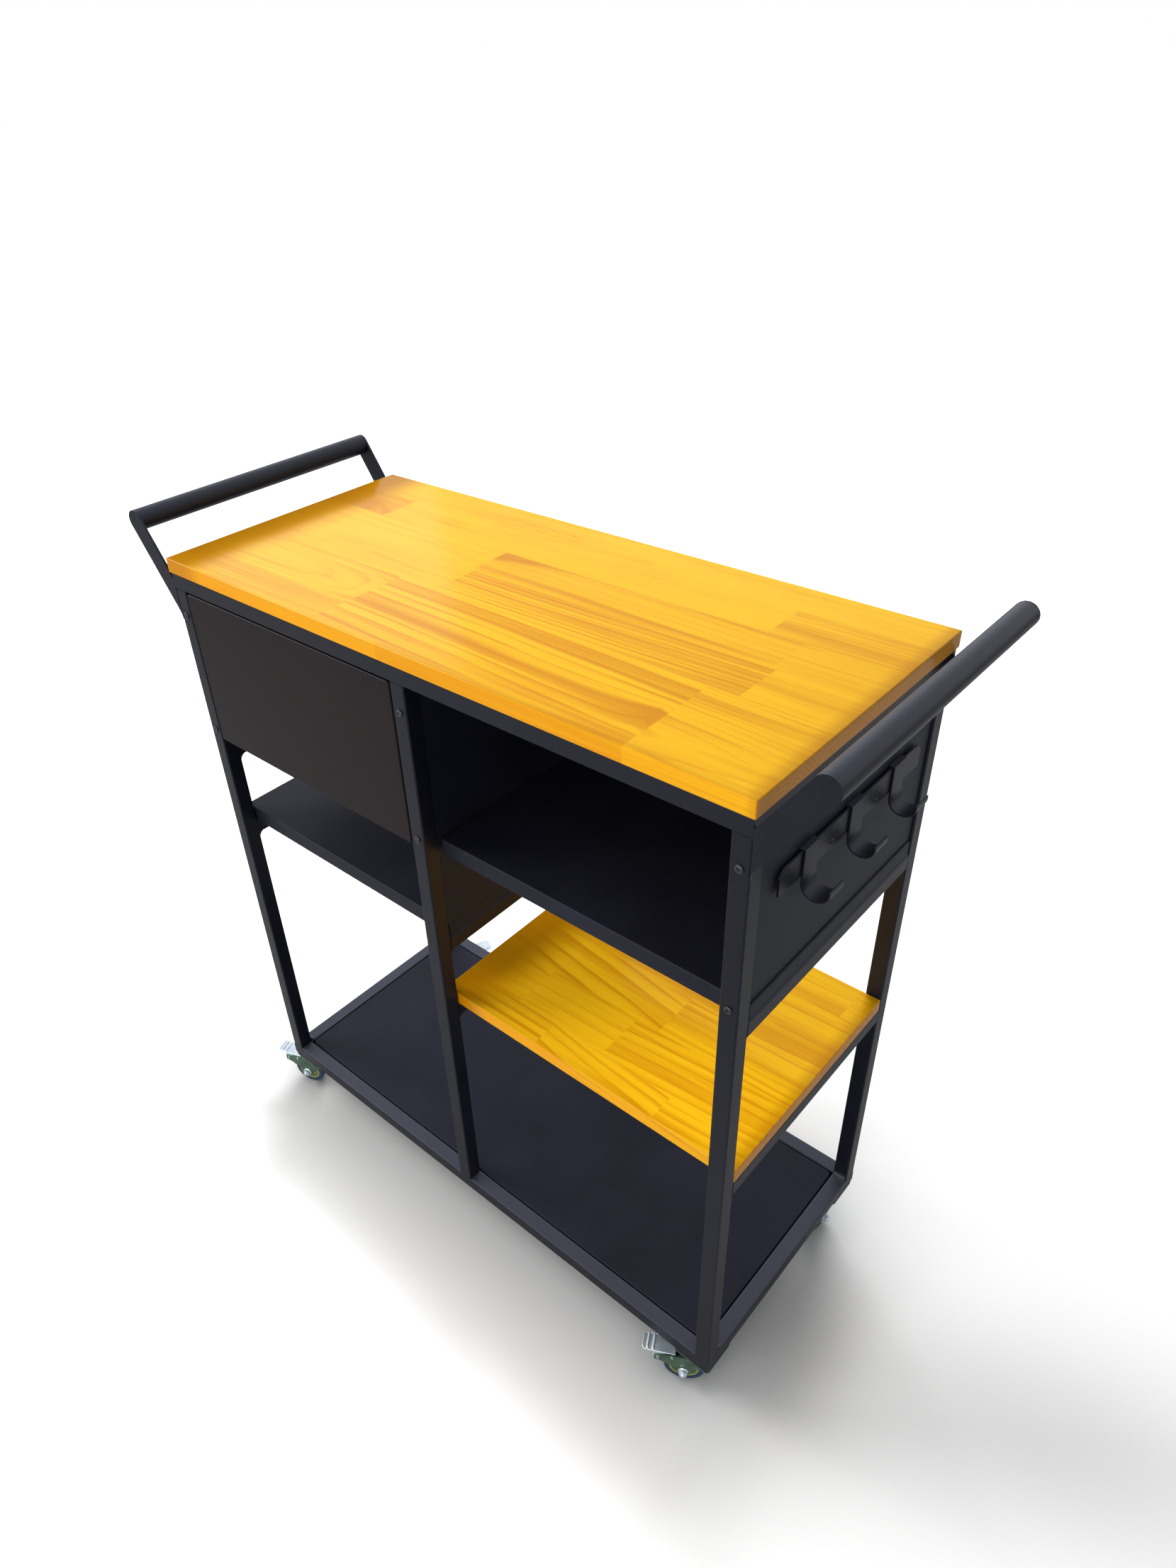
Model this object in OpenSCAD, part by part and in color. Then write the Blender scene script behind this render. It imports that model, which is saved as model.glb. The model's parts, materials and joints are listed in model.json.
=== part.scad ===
// Kitchen cart on four braked swivel castors: a square-tube frame of two bays
// carries a wooden top, a drawer, two folded steel shelves, a wooden shelf and
// a floor tray. A push handle stands out at each end and a strip with hooks
// hangs on the right end. The origin is on the floor under the middle of the
// frame. X runs to the right along the cart, Y runs from the front to the back
// and Z runs up. All sizes are millimetres.

/* [Overall] */
// Height of the wooden top above the floor
top_h = 910; // [870:5:950]
// Width of the steel frame over its end posts
frame_w = 796; // [740:2:860]
// Depth of the steel frame over its front and back posts
frame_d = 350; // [330:2:380]
// Place of the middle posts, measured from the middle of the cart
middle_x = -10; // [-40:1:20]

/* [Frame tube] */
// Side of the square tube
tube = 20; // [18:0.5:22]
// Wall of the square tube
tube_wall = 1.5; // [1:0.1:2]
// Outer corner radius of the square tube
tube_r = 2; // [1:0.1:3]
// Radius of the rounded welds between the cross rails and the posts
weld_r = 10; // [6:1:14]

/* [Wooden boards] */
// Thickness of the wooden top and of the wooden shelf
board_t = 18; // [15:1:22]
// How far the wooden top hangs over the frame on each side
overhang = 2; // [0.5:0.5:5]
// Height of the middle bay, from the wooden shelf up to the lower edge of the right steel shelf
middle_bay_h = 217; // [190:1:240]
// Gap between the wooden shelf and the posts
board_gap = 0.5; // [0.3:0.1:1.5]

/* [Sheet steel] */
// Thickness of the folded sheets
sheet = 1; // [0.8:0.1:1.4]
// Height of the right compartment, from its steel shelf up to the top ring
right_bay_h = 197; // [180:1:220]
// Height from the left steel shelf up to the top ring
left_bay_h = 323; // [290:1:350]
// Height of the turned-down lips of the steel shelves
lip_h = 20; // [14:1:24]
// Gap between the ends of the shelves and the posts
end_gap = 1.5; // [0.5:0.5:3]
// How far the steel shelves stay back from the outer face of the end posts
shelf_recess = 1; // [0.5:0.5:3]
// Gap between the left edge of the right shelf and the divider
shelf_gap = 4; // [2:0.5:6]
// How far the end panels stay back from the outer face of the end posts
panel_recess = 3; // [2.5:0.5:5]
// Depth of the flanges that stiffen the back panels
back_flange = 15; // [8:1:18]
// How far the screwed flanges of a panel stay back from the inner face of the posts
flange_inset = 0.5; // [0.3:0.1:2]
// Gap between the floor tray and the base rails
tray_gap = 1.5; // [0.5:0.5:3]
// Corner radius of the floor tray
tray_r = 6; // [3:1:10]

/* [Drawer] */
// Height of the drawer front
drawer_front_h = 200; // [170:5:210]
// Gap between the drawer front and the top rail
drawer_top_gap = 2; // [1:0.5:4]
// Gap between the drawer front and the post at each end
drawer_side_gap = 1.5; // [1:0.5:3]
// Width of the lips turned in behind the drawer front
front_lip = 25; // [22:1:30]
// Height of the drawer box
box_h = 150; // [120:5:155]
// How far the box stands above the lower edge of the drawer front
box_lift = 12; // [8:1:16]
// Length of the drawer box behind the front
box_l = 282; // [270:2:290]
// Wall of the drawer box
box_wall = 1; // [0.8:0.1:1.4]
// Distance of the drawer screws from the upper and the lower edge of the box
drawer_screw_inset = 30; // [28:1:45]

/* [Drawer runners] */
// Thickness of a closed telescopic runner
runner_t = 12.7; // [12:0.1:14]
// Height of the runner
runner_h = 35; // [30:1:45]
// Length of the runner
runner_l = 280; // [260:2:284]
// Sheet of the runner members
runner_sheet = 1.2; // [1:0.1:1.4]
// Clearance between one runner member and the next
runner_clear = 0.5; // [0.3:0.1:0.7]
// Height of the middle of the runner above the floor of the drawer box
runner_lift = 45; // [30:1:60]
// Clearance between the runner and the plane of the post
runner_side_gap = 1; // [0.5:0.5:2]
// Distance from the back of the drawer front to the front end of the runners
runner_setback = 3; // [1:0.5:5]
// Distance of each runner foot from the middle of the frame
foot_y = 100; // [70:5:110]
// Width of a runner foot along the runner
foot_w = 24; // [16:1:40]
// Sheet of the runner feet
foot_sheet = 1.5; // [1:0.1:2]

/* [Handles] */
// Diameter of the round handle bar
bar_d = 25; // [22:1:30]
// Wall of the handle bar
bar_wall = 1.5; // [1:0.1:2]
// Height of the middle of the bar above the wooden top
bar_up = 32; // [26:1:40]
// Distance of the middle of the bar from the outer face of the end posts
bar_out = 55; // [45:1:65]
// Thickness of the handle arms
arm_t = 3; // [2:0.5:4]
// Slope of the handle arms above the horizontal, in degrees
arm_slope = 56; // [52:1:60]
// Radius of the rounded weld under a handle arm
arm_weld_r = 20; // [10:1:30]

/* [Hooks] */
// Length of the hook strip
strip_l = 256; // [230:2:270]
// Height of the hook strip
strip_h = 27; // [22:1:32]
// Thickness of the hook strip and of the hooks
strip_t = 2; // [1.5:0.1:2.5]
// Distance of the hook strip below the top ring
strip_drop = 61; // [48:1:80]
// Size of the cut corners of the hook strip
strip_corner = 8; // [4:1:12]
// Clearance between a hook and the strip that it hangs on
hook_clear = 0.25; // [0.15:0.05:0.4]
// Spacing of the hooks along the strip
hook_pitch = 80; // [60:1:85]
// Width of a hook
hook_w = 24; // [16:1:30]
// Outer radius of the bend at the foot of a hook
hook_r = 14.5; // [12:0.5:17]
// Drop from the upper edge of the strip to the middle of that bend
hook_drop = 34; // [31:1:38]
// How far the free end of a hook rises above the middle of the bend
hook_rise = 3; // [1:1:8]
// How far the leg of a hook reaches down behind the strip
hook_leg = 14; // [8:1:17]
// Distance of each strip rivet from the middle of the strip
rivet_y = 40; // [25:1:60]
// Height of the strip rivets above the lower edge of the strip
rivet_up = 6; // [5:0.5:8]
// Radius of the rivets and of their spacers
rivet_r = 3.5; // [2.5:0.5:4.5]
// Height of the dome of a rivet
rivet_dome = 1; // [0.6:0.1:1.5]

/* [Fasteners] */
// Shank radius of the panel screws and the wood screws
screw_r = 2.4; // [2:0.1:2.8]
// Head radius of those screws
head_r = 4.4; // [4:0.1:5]
// Head height of those screws
head_h = 2.2; // [1.6:0.1:2.6]
// Head height of the castor screws
castor_head_h = 2.5; // [2:0.1:3]
// Clearance of a screw in the hole that it passes through
screw_clear = 0.2; // [0.1:0.05:0.4]
// Clearance of a screw in the hole that holds its thread
thread_clear = 0.02; // [0.01:0.01:0.05]
// Distance of the upper panel screws below the top ring
screw_drop = 33; // [25:1:45]
// Height of the lower panel screws above the right steel shelf
screw_up = 6; // [6:1:12]
// How far a screw reaches past the sheet that holds its thread
sheet_bite = 3; // [1:0.5:4]
// How deep the wood screws reach into the boards
wood_bite = 12; // [8:1:13]
// Distance of the wood screws from the middle of the frame depth
wood_screw_y = 90; // [60:5:120]

/* [Castors] */
// Height of a castor from the floor to the top of its plate
castor_h = 67.5; // [67:0.5:70]
// Diameter of the wheel
wheel_d = 50; // [47:1:51]
// Width of the tyre
tyre_w = 20; // [17:0.5:21]
// Thickness of the tyre
tyre_t = 6; // [4:0.5:8]
// Distance from the swivel axis back to the wheel axis
trail = 20; // [18:1:22]
// Side of the square castor plate
plate = 50; // [48:1:54]
// Thickness of the castor plate and of the corner plate welded above it
plate_t = 2.5; // [2:0.1:3]
// Distance of the castor screws from the swivel axis along X and along Y
castor_screw = 19; // [18.5:0.5:20]
// Thickness of the fork and pedal sheet
fork_t = 2; // [1.6:0.1:2.2]
// Gap between the cheeks of the fork
fork_gap = 24; // [23.6:0.2:26]
// Clearance between the crown of the fork and the top of the wheel
crown_clear = 1.5; // [1:0.1:2]
// Radius of the king pin of the swivel
king_r = 5; // [4:0.5:6]
// Radius of the wheel axle
axle_r = 4; // [3:0.5:4.5]
// Running clearance of the swivel, the wheel and the pedal on their pins
run_clear = 0.06; // [0.04:0.01:0.09]
// Distance from the swivel axis to the tip of the brake pedal
pedal_reach = 73; // [68:1:78]
// Direction of the front left pedal about the vertical, in degrees
turn_front_left = 199; // [180:1:230]
// Direction of the front right pedal about the vertical, in degrees
turn_front_right = 208; // [180:1:230]
// Direction of the back left pedal about the vertical, in degrees
turn_back_left = 66; // [40:1:90]
// Direction of the back right pedal about the vertical, in degrees
turn_back_right = 268; // [240:1:300]

/* [Castor details] */
// Corner radius of the castor plate and of the corner plate
plate_r = 4; // [2:1:6]
// Gap between the two races of the swivel
race_gap = 0.4; // [0.3:0.1:0.6]
// Radius of the upper race, on the plate
upper_race_r = 15; // [13:0.5:16]
// Radius of the lower race at its upper edge
race_r = 17; // [15:0.5:18]
// Radius of the round crown of the fork
crown_r = 19; // [18:0.5:20]
// How far the fork reaches forward of the swivel axis
crown_front = 16; // [14:0.5:18]
// Depth of the cheeks at their front edge
cheek_front_h = 6; // [4:0.5:8]
// Radius of the riveted head of the king pin
king_head_r = 8; // [7:0.5:9]
// Height of that head
king_head_h = 2; // [1:0.1:2]
// How much smaller the lower edge of that head is
king_chamfer = 2; // [1:0.5:3]
// Gap between that head and the crown
king_gap = 0.3; // [0.2:0.1:0.5]
// Radius of the hub of the wheel
hub_r = 9; // [8:0.5:10]
// Gap between the hub and each cheek
hub_gap = 0.3; // [0.2:0.1:0.5]
// Thickness of the rim under the tyre
rim_t = 3; // [2:0.5:4]
// How far each side of the rim stays back from the side of the tyre
rim_inset = 0.5; // [0.3:0.1:1.5]
// Thickness of the web between the hub and the rim
web_w = 8; // [6:1:10]
// Radius of the edges of the tyre
tyre_edge_r = 2; // [1:0.5:3]
// Radius of the cheek around the axle
boss_r = 9; // [8:0.5:10]
// Height above the axle at which the boss runs over into the cheek
boss_rise = 2; // [1:0.5:3]
// Corner radius of the hexagon nut and of the hexagon head of the axle
nut_r = 7.5; // [7:0.5:8]
// Height of the nut
nut_h = 6; // [5:0.5:7]
// Height of the head of the axle
bolt_head_h = 5; // [4:0.5:6]
// How far the axle stands out of the nut
stud_end = 2; // [1:0.5:3]
// Distance from the pivot of the brake pedal to its tip
pedal_arm = 21; // [20:0.5:22]
// Drop of that pivot below the top of the wheel
pivot_drop = 5; // [4.5:0.1:5.5]
// Radius of that pivot
pivot_r = 2; // [1.6:0.1:2.2]
// Radius of the stop rivet in front of the pivot
stop_r = 1.6; // [1.3:0.1:1.8]
// Distance from the pivot forward to the stop rivet
stop_back = 17.5; // [17:0.1:18]
// Gap between the stop rivet and the pedal at rest
stop_gap = 0.4; // [0.3:0.1:0.8]
// Radius of the heads of both rivets
rivet_head_r = 2.8; // [2.5:0.1:3.2]
// Height of those heads
rivet_head_h = 1; // [0.6:0.1:1.4]
// How far the ears of the fork reach past the pivot
ear_tip = 5; // [4.5:0.1:5.5]
// How far the ears reach below the pivot
ear_low = 5; // [4.5:0.1:5.5]
// How far the ears reach above the pivot
ear_high = 4; // [3.5:0.1:4.5]
// Length of the cut lower corner of the ears
ear_cut_l = 8; // [6:0.5:9]
// Height of that corner
ear_cut_h = 1; // [0.5:0.1:2]
// Side play of the brake pedal between the cheeks of the fork
pedal_play = 0.3; // [0.2:0.1:0.5]
// Thickness of the pedal sheet
pedal_t = 1.5; // [1.2:0.1:1.8]
// Height of the pedal above the underside of the crown
pedal_lift = 0.5; // [0.3:0.1:0.8]
// Thickness of the side flanges and of the shoe of the pedal
flange_t = 1.2; // [1:0.1:1.5]
// How far the side flanges reach forward of the pivot
flange_near = 9; // [8:0.5:10]
// How far the side flanges reach past the pivot
flange_far = 7; // [6:0.5:8]
// How far the side flanges reach below the pivot
flange_drop = 4; // [3.5:0.1:4.5]
// Distance from the pivot forward to the shoe that meets the tyre
shoe_back = 5.5; // [5:0.1:6]
// How far the shoe reaches below the pivot
shoe_drop = 11; // [10:0.5:12]
// Width of the shoe
shoe_w = 16; // [12:1:18]
// Radius of the round corners at the tip of the pedal
pedal_corner_r = 5; // [3:1:8]
// Number of ribs across the pedal
ribs = 2; // [1:1:3]
// Radius of the ribs
rib_r = 1.3; // [1:0.1:1.6]
// Spacing of the ribs
rib_pitch = 7; // [4:0.5:8]
// Distance of the first rib from the tip
rib_inset = 7; // [5:0.5:8]
// How far the ribs stay back from each side of the pedal
rib_side = 2; // [1:0.5:4]

/* [Hidden] */
$fn = 64;

// Colours
frame_colour = "#3B3B43";
panel_colour = "#34343B";
drawer_colour = "#3A3531";
wood_colour = "#F2B22C";
screw_colour = "#222226";
zinc_colour = "#C9D2CF";
wheel_colour = "#B9AF6A";
tyre_colour = "#1F4F66";

// A little extra length for cuts that run out of a body
cut = 1;

// Heights of the frame, from the floor up
base_z = castor_h + plate_t;
base_top = base_z + tube;
frame_top = top_h - board_t;
top_rail_z = frame_top - tube;
right_shelf_z = top_rail_z - right_bay_h;
left_shelf_z = top_rail_z - left_bay_h;
panel_rail_top = right_shelf_z - lip_h;
left_rail_top = left_shelf_z - lip_h;
wood_rail_top = panel_rail_top - middle_bay_h - board_t;

// Faces of the frame, and the inner faces of its posts
end_x = frame_w / 2;
face_y = frame_d / 2;
in_x = end_x - tube;
in_y = face_y - tube;
post_x = end_x - tube / 2;
post_y = face_y - tube / 2;
middle_left = middle_x - tube / 2;
middle_right = middle_x + tube / 2;
POST_X = [-post_x, middle_x, post_x];

// Panels between the posts
panel_face = end_x - panel_recess;
shelf_end = end_x - shelf_recess;
divider_face = middle_right - shelf_recess;
divider_left = divider_face - sheet;
shelf_y = in_y - end_gap;
right_shelf_x = divider_face + shelf_gap;
SCREW_Z = [right_shelf_z + screw_up, top_rail_z - screw_drop];

// Drawer
front_z = top_rail_z - drawer_top_gap - drawer_front_h;
front_x0 = -in_x + drawer_side_gap;
front_x1 = middle_left - drawer_side_gap;
box_z = front_z + box_lift;
runner_x0 = -in_x + runner_side_gap;
runner_x1 = middle_left - runner_side_gap;
box_x0 = runner_x0 + runner_t;
box_x1 = runner_x1 - runner_t;
runner_z = box_z + runner_lift;
runner_y = runner_setback - in_y;
member_step = runner_sheet + runner_clear;
outer_half = runner_h / 2;
middle_half = outer_half - member_step;
inner_half = middle_half - member_step;
// Places of the screws that join the box to the lips at both sides of the drawer front
DRAWER_SCREW_X = [
    (box_x0 + box_wall + front_x0 + front_lip) / 2,
    (box_x1 - box_wall + front_x1 - front_lip) / 2
];
DRAWER_SCREW_Z = [box_z + drawer_screw_inset, box_z + box_h - drawer_screw_inset];

// Screws of the steel shelf, and the narrow end of the heads of all screws
SHELF_SCREW_Y = [-wood_screw_y, 0, wood_screw_y];
shelf_screw_z = right_shelf_z - lip_h / 2;
head_flat_r = 0.7 * head_r;

// Handles
bar_x = end_x + bar_out;
bar_z = top_h + bar_up;
bar_r = bar_d / 2;
arm_lean = [cos(arm_slope), sin(arm_slope)];
arm_side = [sin(arm_slope), -cos(arm_slope)];
// Height at which an edge of the arm meets the post; side is 1 for the lower edge and -1 for the upper
function arm_foot_z(side) =
    bar_z + side * bar_r * arm_side[1]
    - (bar_out + side * bar_r * arm_side[0]) * tan(arm_slope);
arm_low = arm_foot_z(1);
arm_high = arm_foot_z(-1);

// Hooks
strip_top_z = top_rail_z - strip_drop;
strip_back = panel_face + strip_t + 2 * hook_clear;
strip_face = strip_back + strip_t;
hook_in = strip_face + hook_clear;
hook_out = hook_in + strip_t;
hook_bend_x = hook_in + hook_r;
hook_bend_z = strip_top_z - hook_drop;
hook_leg_x = strip_back - hook_clear - strip_t;
rivet_z = strip_top_z - strip_h + rivet_up;
rivet_shank_r = 0.6 * rivet_r;

// Castors, each turned about its swivel axis; every castor is drawn with its pedal along +X
castor_x = end_x - plate / 2;
castor_y = face_y - plate / 2;
wheel_r = wheel_d / 2;
crown_z = wheel_d + crown_clear;
crown_top = crown_z + fork_t;
plate_z = castor_h - plate_t;
race_h = (plate_z - crown_top - race_gap) / 2;
rim_r = wheel_r - tyre_t;
web_r = rim_r - rim_t;
pivot_s = pedal_reach - pedal_arm;
pivot_z = wheel_d - pivot_drop;
pedal_w = fork_gap - 2 * pedal_play;
pedal_z = crown_z + pedal_lift;
pedal_start = pivot_s - pedal_arm;
stop_s = pivot_s - stop_back;
stop_z = pedal_z - stop_gap - stop_r;
ear_end = pivot_s + ear_tip;
CASTORS = [
    [-castor_x, -castor_y, turn_front_left], [castor_x, -castor_y, turn_front_right],
    [-castor_x, castor_y, turn_back_left], [castor_x, castor_y, turn_back_right]
];

// A rectangle with round corners about the origin
module round_rect(w, h, r) {
    square([w - 2 * r, h], center = true);
    square([w, h - 2 * r], center = true);
    for (sx = [-1, 1], sy = [-1, 1])
        translate([sx * (w / 2 - r), sy * (h / 2 - r)]) circle(r);
}

module tube_section() {
    difference() {
        round_rect(tube, tube, tube_r);
        square(tube - 2 * tube_wall, center = true);
    }
}

// Tubes of length l about the origin, along X and along Y
module tube_x(l) {
    rotate([90, 0, 90]) linear_extrude(l, center = true) tube_section();
}

module tube_y(l) {
    rotate([90, 0, 0]) linear_extrude(l, center = true) tube_section();
}

// A tube along X with both ends cut at 45 degrees; its longer side faces -Y
module mitred_tube(l) {
    reach = tube;
    near = l / 2 + reach - tube / 2;
    far = l / 2 - reach - tube / 2;
    intersection() {
        tube_x(l);
        linear_extrude(2 * tube, center = true)
            polygon([[-near, -reach], [near, -reach], [far, reach], [-far, reach]]);
    }
}

// A hollow weld in a corner at the origin, below a face at z = 0 and in front of a face at x = 0
module corner_weld() {
    rotate([90, 0, 0]) linear_extrude(tube - 2 * tube_r, center = true) difference() {
        translate([0, -weld_r]) square(weld_r);
        translate([weld_r, -weld_r]) circle(weld_r);
    }
}

// The welds of a cross rail at both posts; side is 1 above its face at z = 0 and -1 below
module rail_welds(side) {
    for (turn = [90, -90]) rotate([0, 0, turn]) translate([-in_y, 0, 0])
        mirror([0, 0, side > 0 ? 1 : 0]) corner_weld();
}

// A cross rail along Y between the posts, its upper face at z = 0
module cross_rail() {
    translate([0, 0, -tube / 2]) tube_y(2 * in_y);
    translate([0, 0, -tube]) rail_welds(-1);
}

// A vertical hole for a wood screw through both walls of a rail at height z
module rail_screw_hole(x, y, z) {
    translate([x, y, z - cut]) cylinder(h = tube + 2 * cut, r = screw_r + screw_clear);
}

// A screw with its head at z = 0, pointing up, with a shank of length l
module screw(l) {
    cylinder(h = l, r = screw_r);
    translate([0, 0, -head_h]) cylinder(h = head_h, r1 = head_flat_r, r2 = head_r);
}

// A post from the base ring to the top ring; side is -1 at the front and 1 at the back
module post(x, side) {
    l = top_rail_z - base_top;
    color(frame_colour) difference() {
        translate([x, side * post_y, base_top]) linear_extrude(l) tube_section();
        for (z = SCREW_Z)
            translate([x, side * post_y, z]) rotate([90, 0, 0])
                cylinder(h = tube + 2 * cut, r = screw_r + screw_clear, center = true);
    }
}

module post_front_left() post(POST_X[0], -1);
module post_front_middle() post(POST_X[1], -1);
module post_front_right() post(POST_X[2], -1);
module posts_back() for (x = POST_X) post(x, 1);

// A long mitred rail; side is -1 at the front and 1 at the back
module long_rail(side, z) {
    color(frame_colour) translate([0, side * post_y, z + tube / 2])
        rotate([0, 0, side > 0 ? 180 : 0]) mitred_tube(frame_w);
}

// A mitred rail across one end; side is -1 at the left and 1 at the right
module end_rail(side, z) {
    translate([side * post_x, 0, z + tube / 2])
        rotate([0, 0, side * 90]) mitred_tube(frame_d);
}

module top_rail_front() long_rail(-1, top_rail_z);
module top_rail_back() long_rail(1, top_rail_z);
module base_rail_front() long_rail(-1, base_z);
module base_rail_back() long_rail(1, base_z);

module top_cross_rails() {
    color(frame_colour) difference() {
        union() {
            end_rail(-1, top_rail_z);
            end_rail(1, top_rail_z);
            translate([middle_x, 0, top_rail_z + tube / 2]) tube_y(2 * in_y);
        }
        for (x = POST_X, sy = [-1, 1]) rail_screw_hole(x, sy * wood_screw_y, top_rail_z);
    }
}

module base_end_rails() {
    color(frame_colour) for (side = [-1, 1]) {
        end_rail(side, base_z);
        translate([side * post_x, 0, base_top]) rail_welds(1);
    }
}

module panel_rails() {
    color(frame_colour) for (x = [-post_x, post_x]) translate([x, 0, panel_rail_top]) cross_rail();
}

module left_shelf_rails() {
    color(frame_colour) for (x = [-post_x, middle_x]) translate([x, 0, left_rail_top]) cross_rail();
}

module wood_shelf_rails() {
    color(frame_colour) difference() {
        for (x = [middle_x, post_x]) translate([x, 0, wood_rail_top]) cross_rail();
        for (x = [middle_x, post_x], sy = [-1, 1])
            rail_screw_hole(x, sy * wood_screw_y, wood_rail_top - tube);
    }
}

// An upright sheet across the cart with its outer face at x, its flanges turned
// towards -X behind the posts at post_at; mirrored by side for the left end
module cross_panel(x, z0, post_at, side) {
    flange_x = post_at - tube / 2 + flange_inset;
    mirror([side < 0 ? 1 : 0, 0, 0]) difference() {
        union() {
            translate([x - sheet, -in_y, z0]) cube([sheet, 2 * in_y, top_rail_z - z0]);
            for (y = [-in_y, in_y - sheet])
                translate([flange_x, y, z0]) cube([x - flange_x, sheet, top_rail_z - z0]);
        }
        for (z = SCREW_Z)
            translate([post_at, 0, z]) rotate([90, 0, 0])
                cylinder(h = frame_d, r = screw_r + thread_clear, center = true);
    }
}

module right_end_panel() {
    color(panel_colour) difference() {
        cross_panel(panel_face, right_shelf_z, post_x, 1);
        for (sy = [-1, 1]) translate([panel_face, sy * rivet_y, rivet_z]) rotate([0, 90, 0])
            cylinder(h = 4 * sheet, r = rivet_shank_r + thread_clear, center = true);
    }
}

module left_end_panel() {
    color(panel_colour) cross_panel(panel_face, panel_rail_top, post_x, -1);
}

// The divider beside the middle posts, with the holes that hold the screws of the right shelf
module divider() {
    color(panel_colour) difference() {
        cross_panel(divider_face, left_shelf_z, middle_x, 1);
        shelf_screw_holes(divider_face, thread_clear);
    }
}

module shelf_screw_holes(x, clear) {
    for (y = SHELF_SCREW_Y) translate([x, y, shelf_screw_z]) rotate([0, 90, 0])
        cylinder(h = 4 * sheet, r = screw_r + clear, center = true);
}

// A back panel between x0 and x1 with flanges turned back along the posts
module back_panel(x0, x1) {
    h = top_rail_z - right_shelf_z;
    translate([x0, in_y, right_shelf_z]) cube([x1 - x0, sheet, h]);
    for (x = [x0, x1 - sheet]) translate([x, in_y, right_shelf_z]) cube([sheet, back_flange, h]);
}

module back_panels() {
    color(panel_colour) {
        back_panel(-in_x, middle_left);
        back_panel(middle_right, in_x);
    }
}

// A sheet folded down on all four sides, open below, its upper face at z = 0
module folded_shelf(x0, x1) {
    difference() {
        translate([x0, -shelf_y, -lip_h]) cube([x1 - x0, 2 * shelf_y, lip_h]);
        translate([x0 + sheet, -shelf_y + sheet, -lip_h - cut])
            cube([x1 - x0 - 2 * sheet, 2 * (shelf_y - sheet), lip_h - sheet + cut]);
    }
}

module steel_shelf_right() {
    color(panel_colour) difference() {
        translate([0, 0, right_shelf_z]) folded_shelf(right_shelf_x, shelf_end);
        shelf_screw_holes(right_shelf_x, screw_clear);
    }
}

module steel_shelf_left() {
    color(panel_colour) translate([0, 0, left_shelf_z]) folded_shelf(-shelf_end, divider_face);
}

module floor_tray() {
    w = 2 * (in_x - tray_gap);
    d = 2 * (in_y - tray_gap);
    color(panel_colour) translate([0, 0, base_z]) difference() {
        linear_extrude(tube) round_rect(w, d, tray_r);
        translate([0, 0, -cut]) linear_extrude(tube - sheet + cut)
            round_rect(w - 2 * sheet, d - 2 * sheet, tray_r - sheet);
    }
}

module wood_top() {
    w = frame_w + 2 * overhang;
    d = frame_d + 2 * overhang;
    color(wood_colour) difference() {
        translate([-w / 2, -d / 2, frame_top]) cube([w, d, board_t]);
        for (x = POST_X, sy = [-1, 1]) translate([x, sy * wood_screw_y, frame_top - cut])
            cylinder(h = wood_bite + cut, r = screw_r + thread_clear);
    }
}

module wood_shelf() {
    d = in_y - board_gap;
    color(wood_colour) difference() {
        translate([middle_left, -d, wood_rail_top]) cube([end_x - middle_left, 2 * d, board_t]);
        for (x = [middle_x, post_x], sy = [-1, 1])
            translate([x, sy * wood_screw_y, wood_rail_top - cut])
                cylinder(h = wood_bite + cut, r = screw_r + thread_clear);
    }
}

module hook_strip() {
    strip_low = strip_top_z - strip_h;
    half = strip_l / 2;
    color(frame_colour) {
        translate([strip_back, 0, 0]) rotate([90, 0, 90]) linear_extrude(strip_t)
            polygon([
                [-half, strip_low], [half, strip_low],
                [half, strip_top_z - strip_corner], [half - strip_corner, strip_top_z],
                [strip_corner - half, strip_top_z], [-half, strip_top_z - strip_corner]
            ]);
        for (sy = [-1, 1]) translate([0, sy * rivet_y, rivet_z]) rotate([0, 90, 0]) {
            translate([0, 0, panel_face]) cylinder(h = strip_back - panel_face, r = rivet_r);
            translate([0, 0, panel_face - sheet]) cylinder(h = sheet, r = rivet_shank_r);
            translate([0, 0, strip_face]) cylinder(h = rivet_dome, r1 = rivet_r, r2 = rivet_shank_r);
        }
    }
}

// The side outline of a hook, with X out from the cart and Y up
module hook_outline() {
    tip_x = hook_bend_x + hook_r;
    // Front leg, fold over the strip and the leg behind it
    translate([hook_in, hook_bend_z]) square([strip_t, strip_top_z + strip_t - hook_bend_z]);
    translate([hook_leg_x, strip_top_z]) square([hook_out - hook_leg_x, strip_t]);
    translate([hook_leg_x, strip_top_z - hook_leg]) square([strip_t, hook_leg + strip_t]);
    // Bend at the foot and the free end
    difference() {
        translate([hook_bend_x, hook_bend_z]) circle(hook_r);
        translate([hook_bend_x, hook_bend_z]) circle(hook_r - strip_t);
        translate([hook_in - cut, hook_bend_z]) square([2 * hook_r + 2 * cut, hook_r + cut]);
    }
    translate([tip_x - strip_t, hook_bend_z]) square([strip_t, hook_rise]);
}

module hooks() {
    color(frame_colour) for (k = [-1:1])
        translate([0, k * hook_pitch, 0]) rotate([90, 0, 0])
            linear_extrude(hook_w, center = true) hook_outline();
}

// Screws through the posts into the flanges of the panels, from the front and from the back
module panel_screws() {
    color(screw_colour) for (x = POST_X, z = SCREW_Z, side = [-1, 1])
        translate([x, side * face_y, z]) rotate([side * 90, 0, 0]) screw(tube + sheet + sheet_bite);
}

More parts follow.
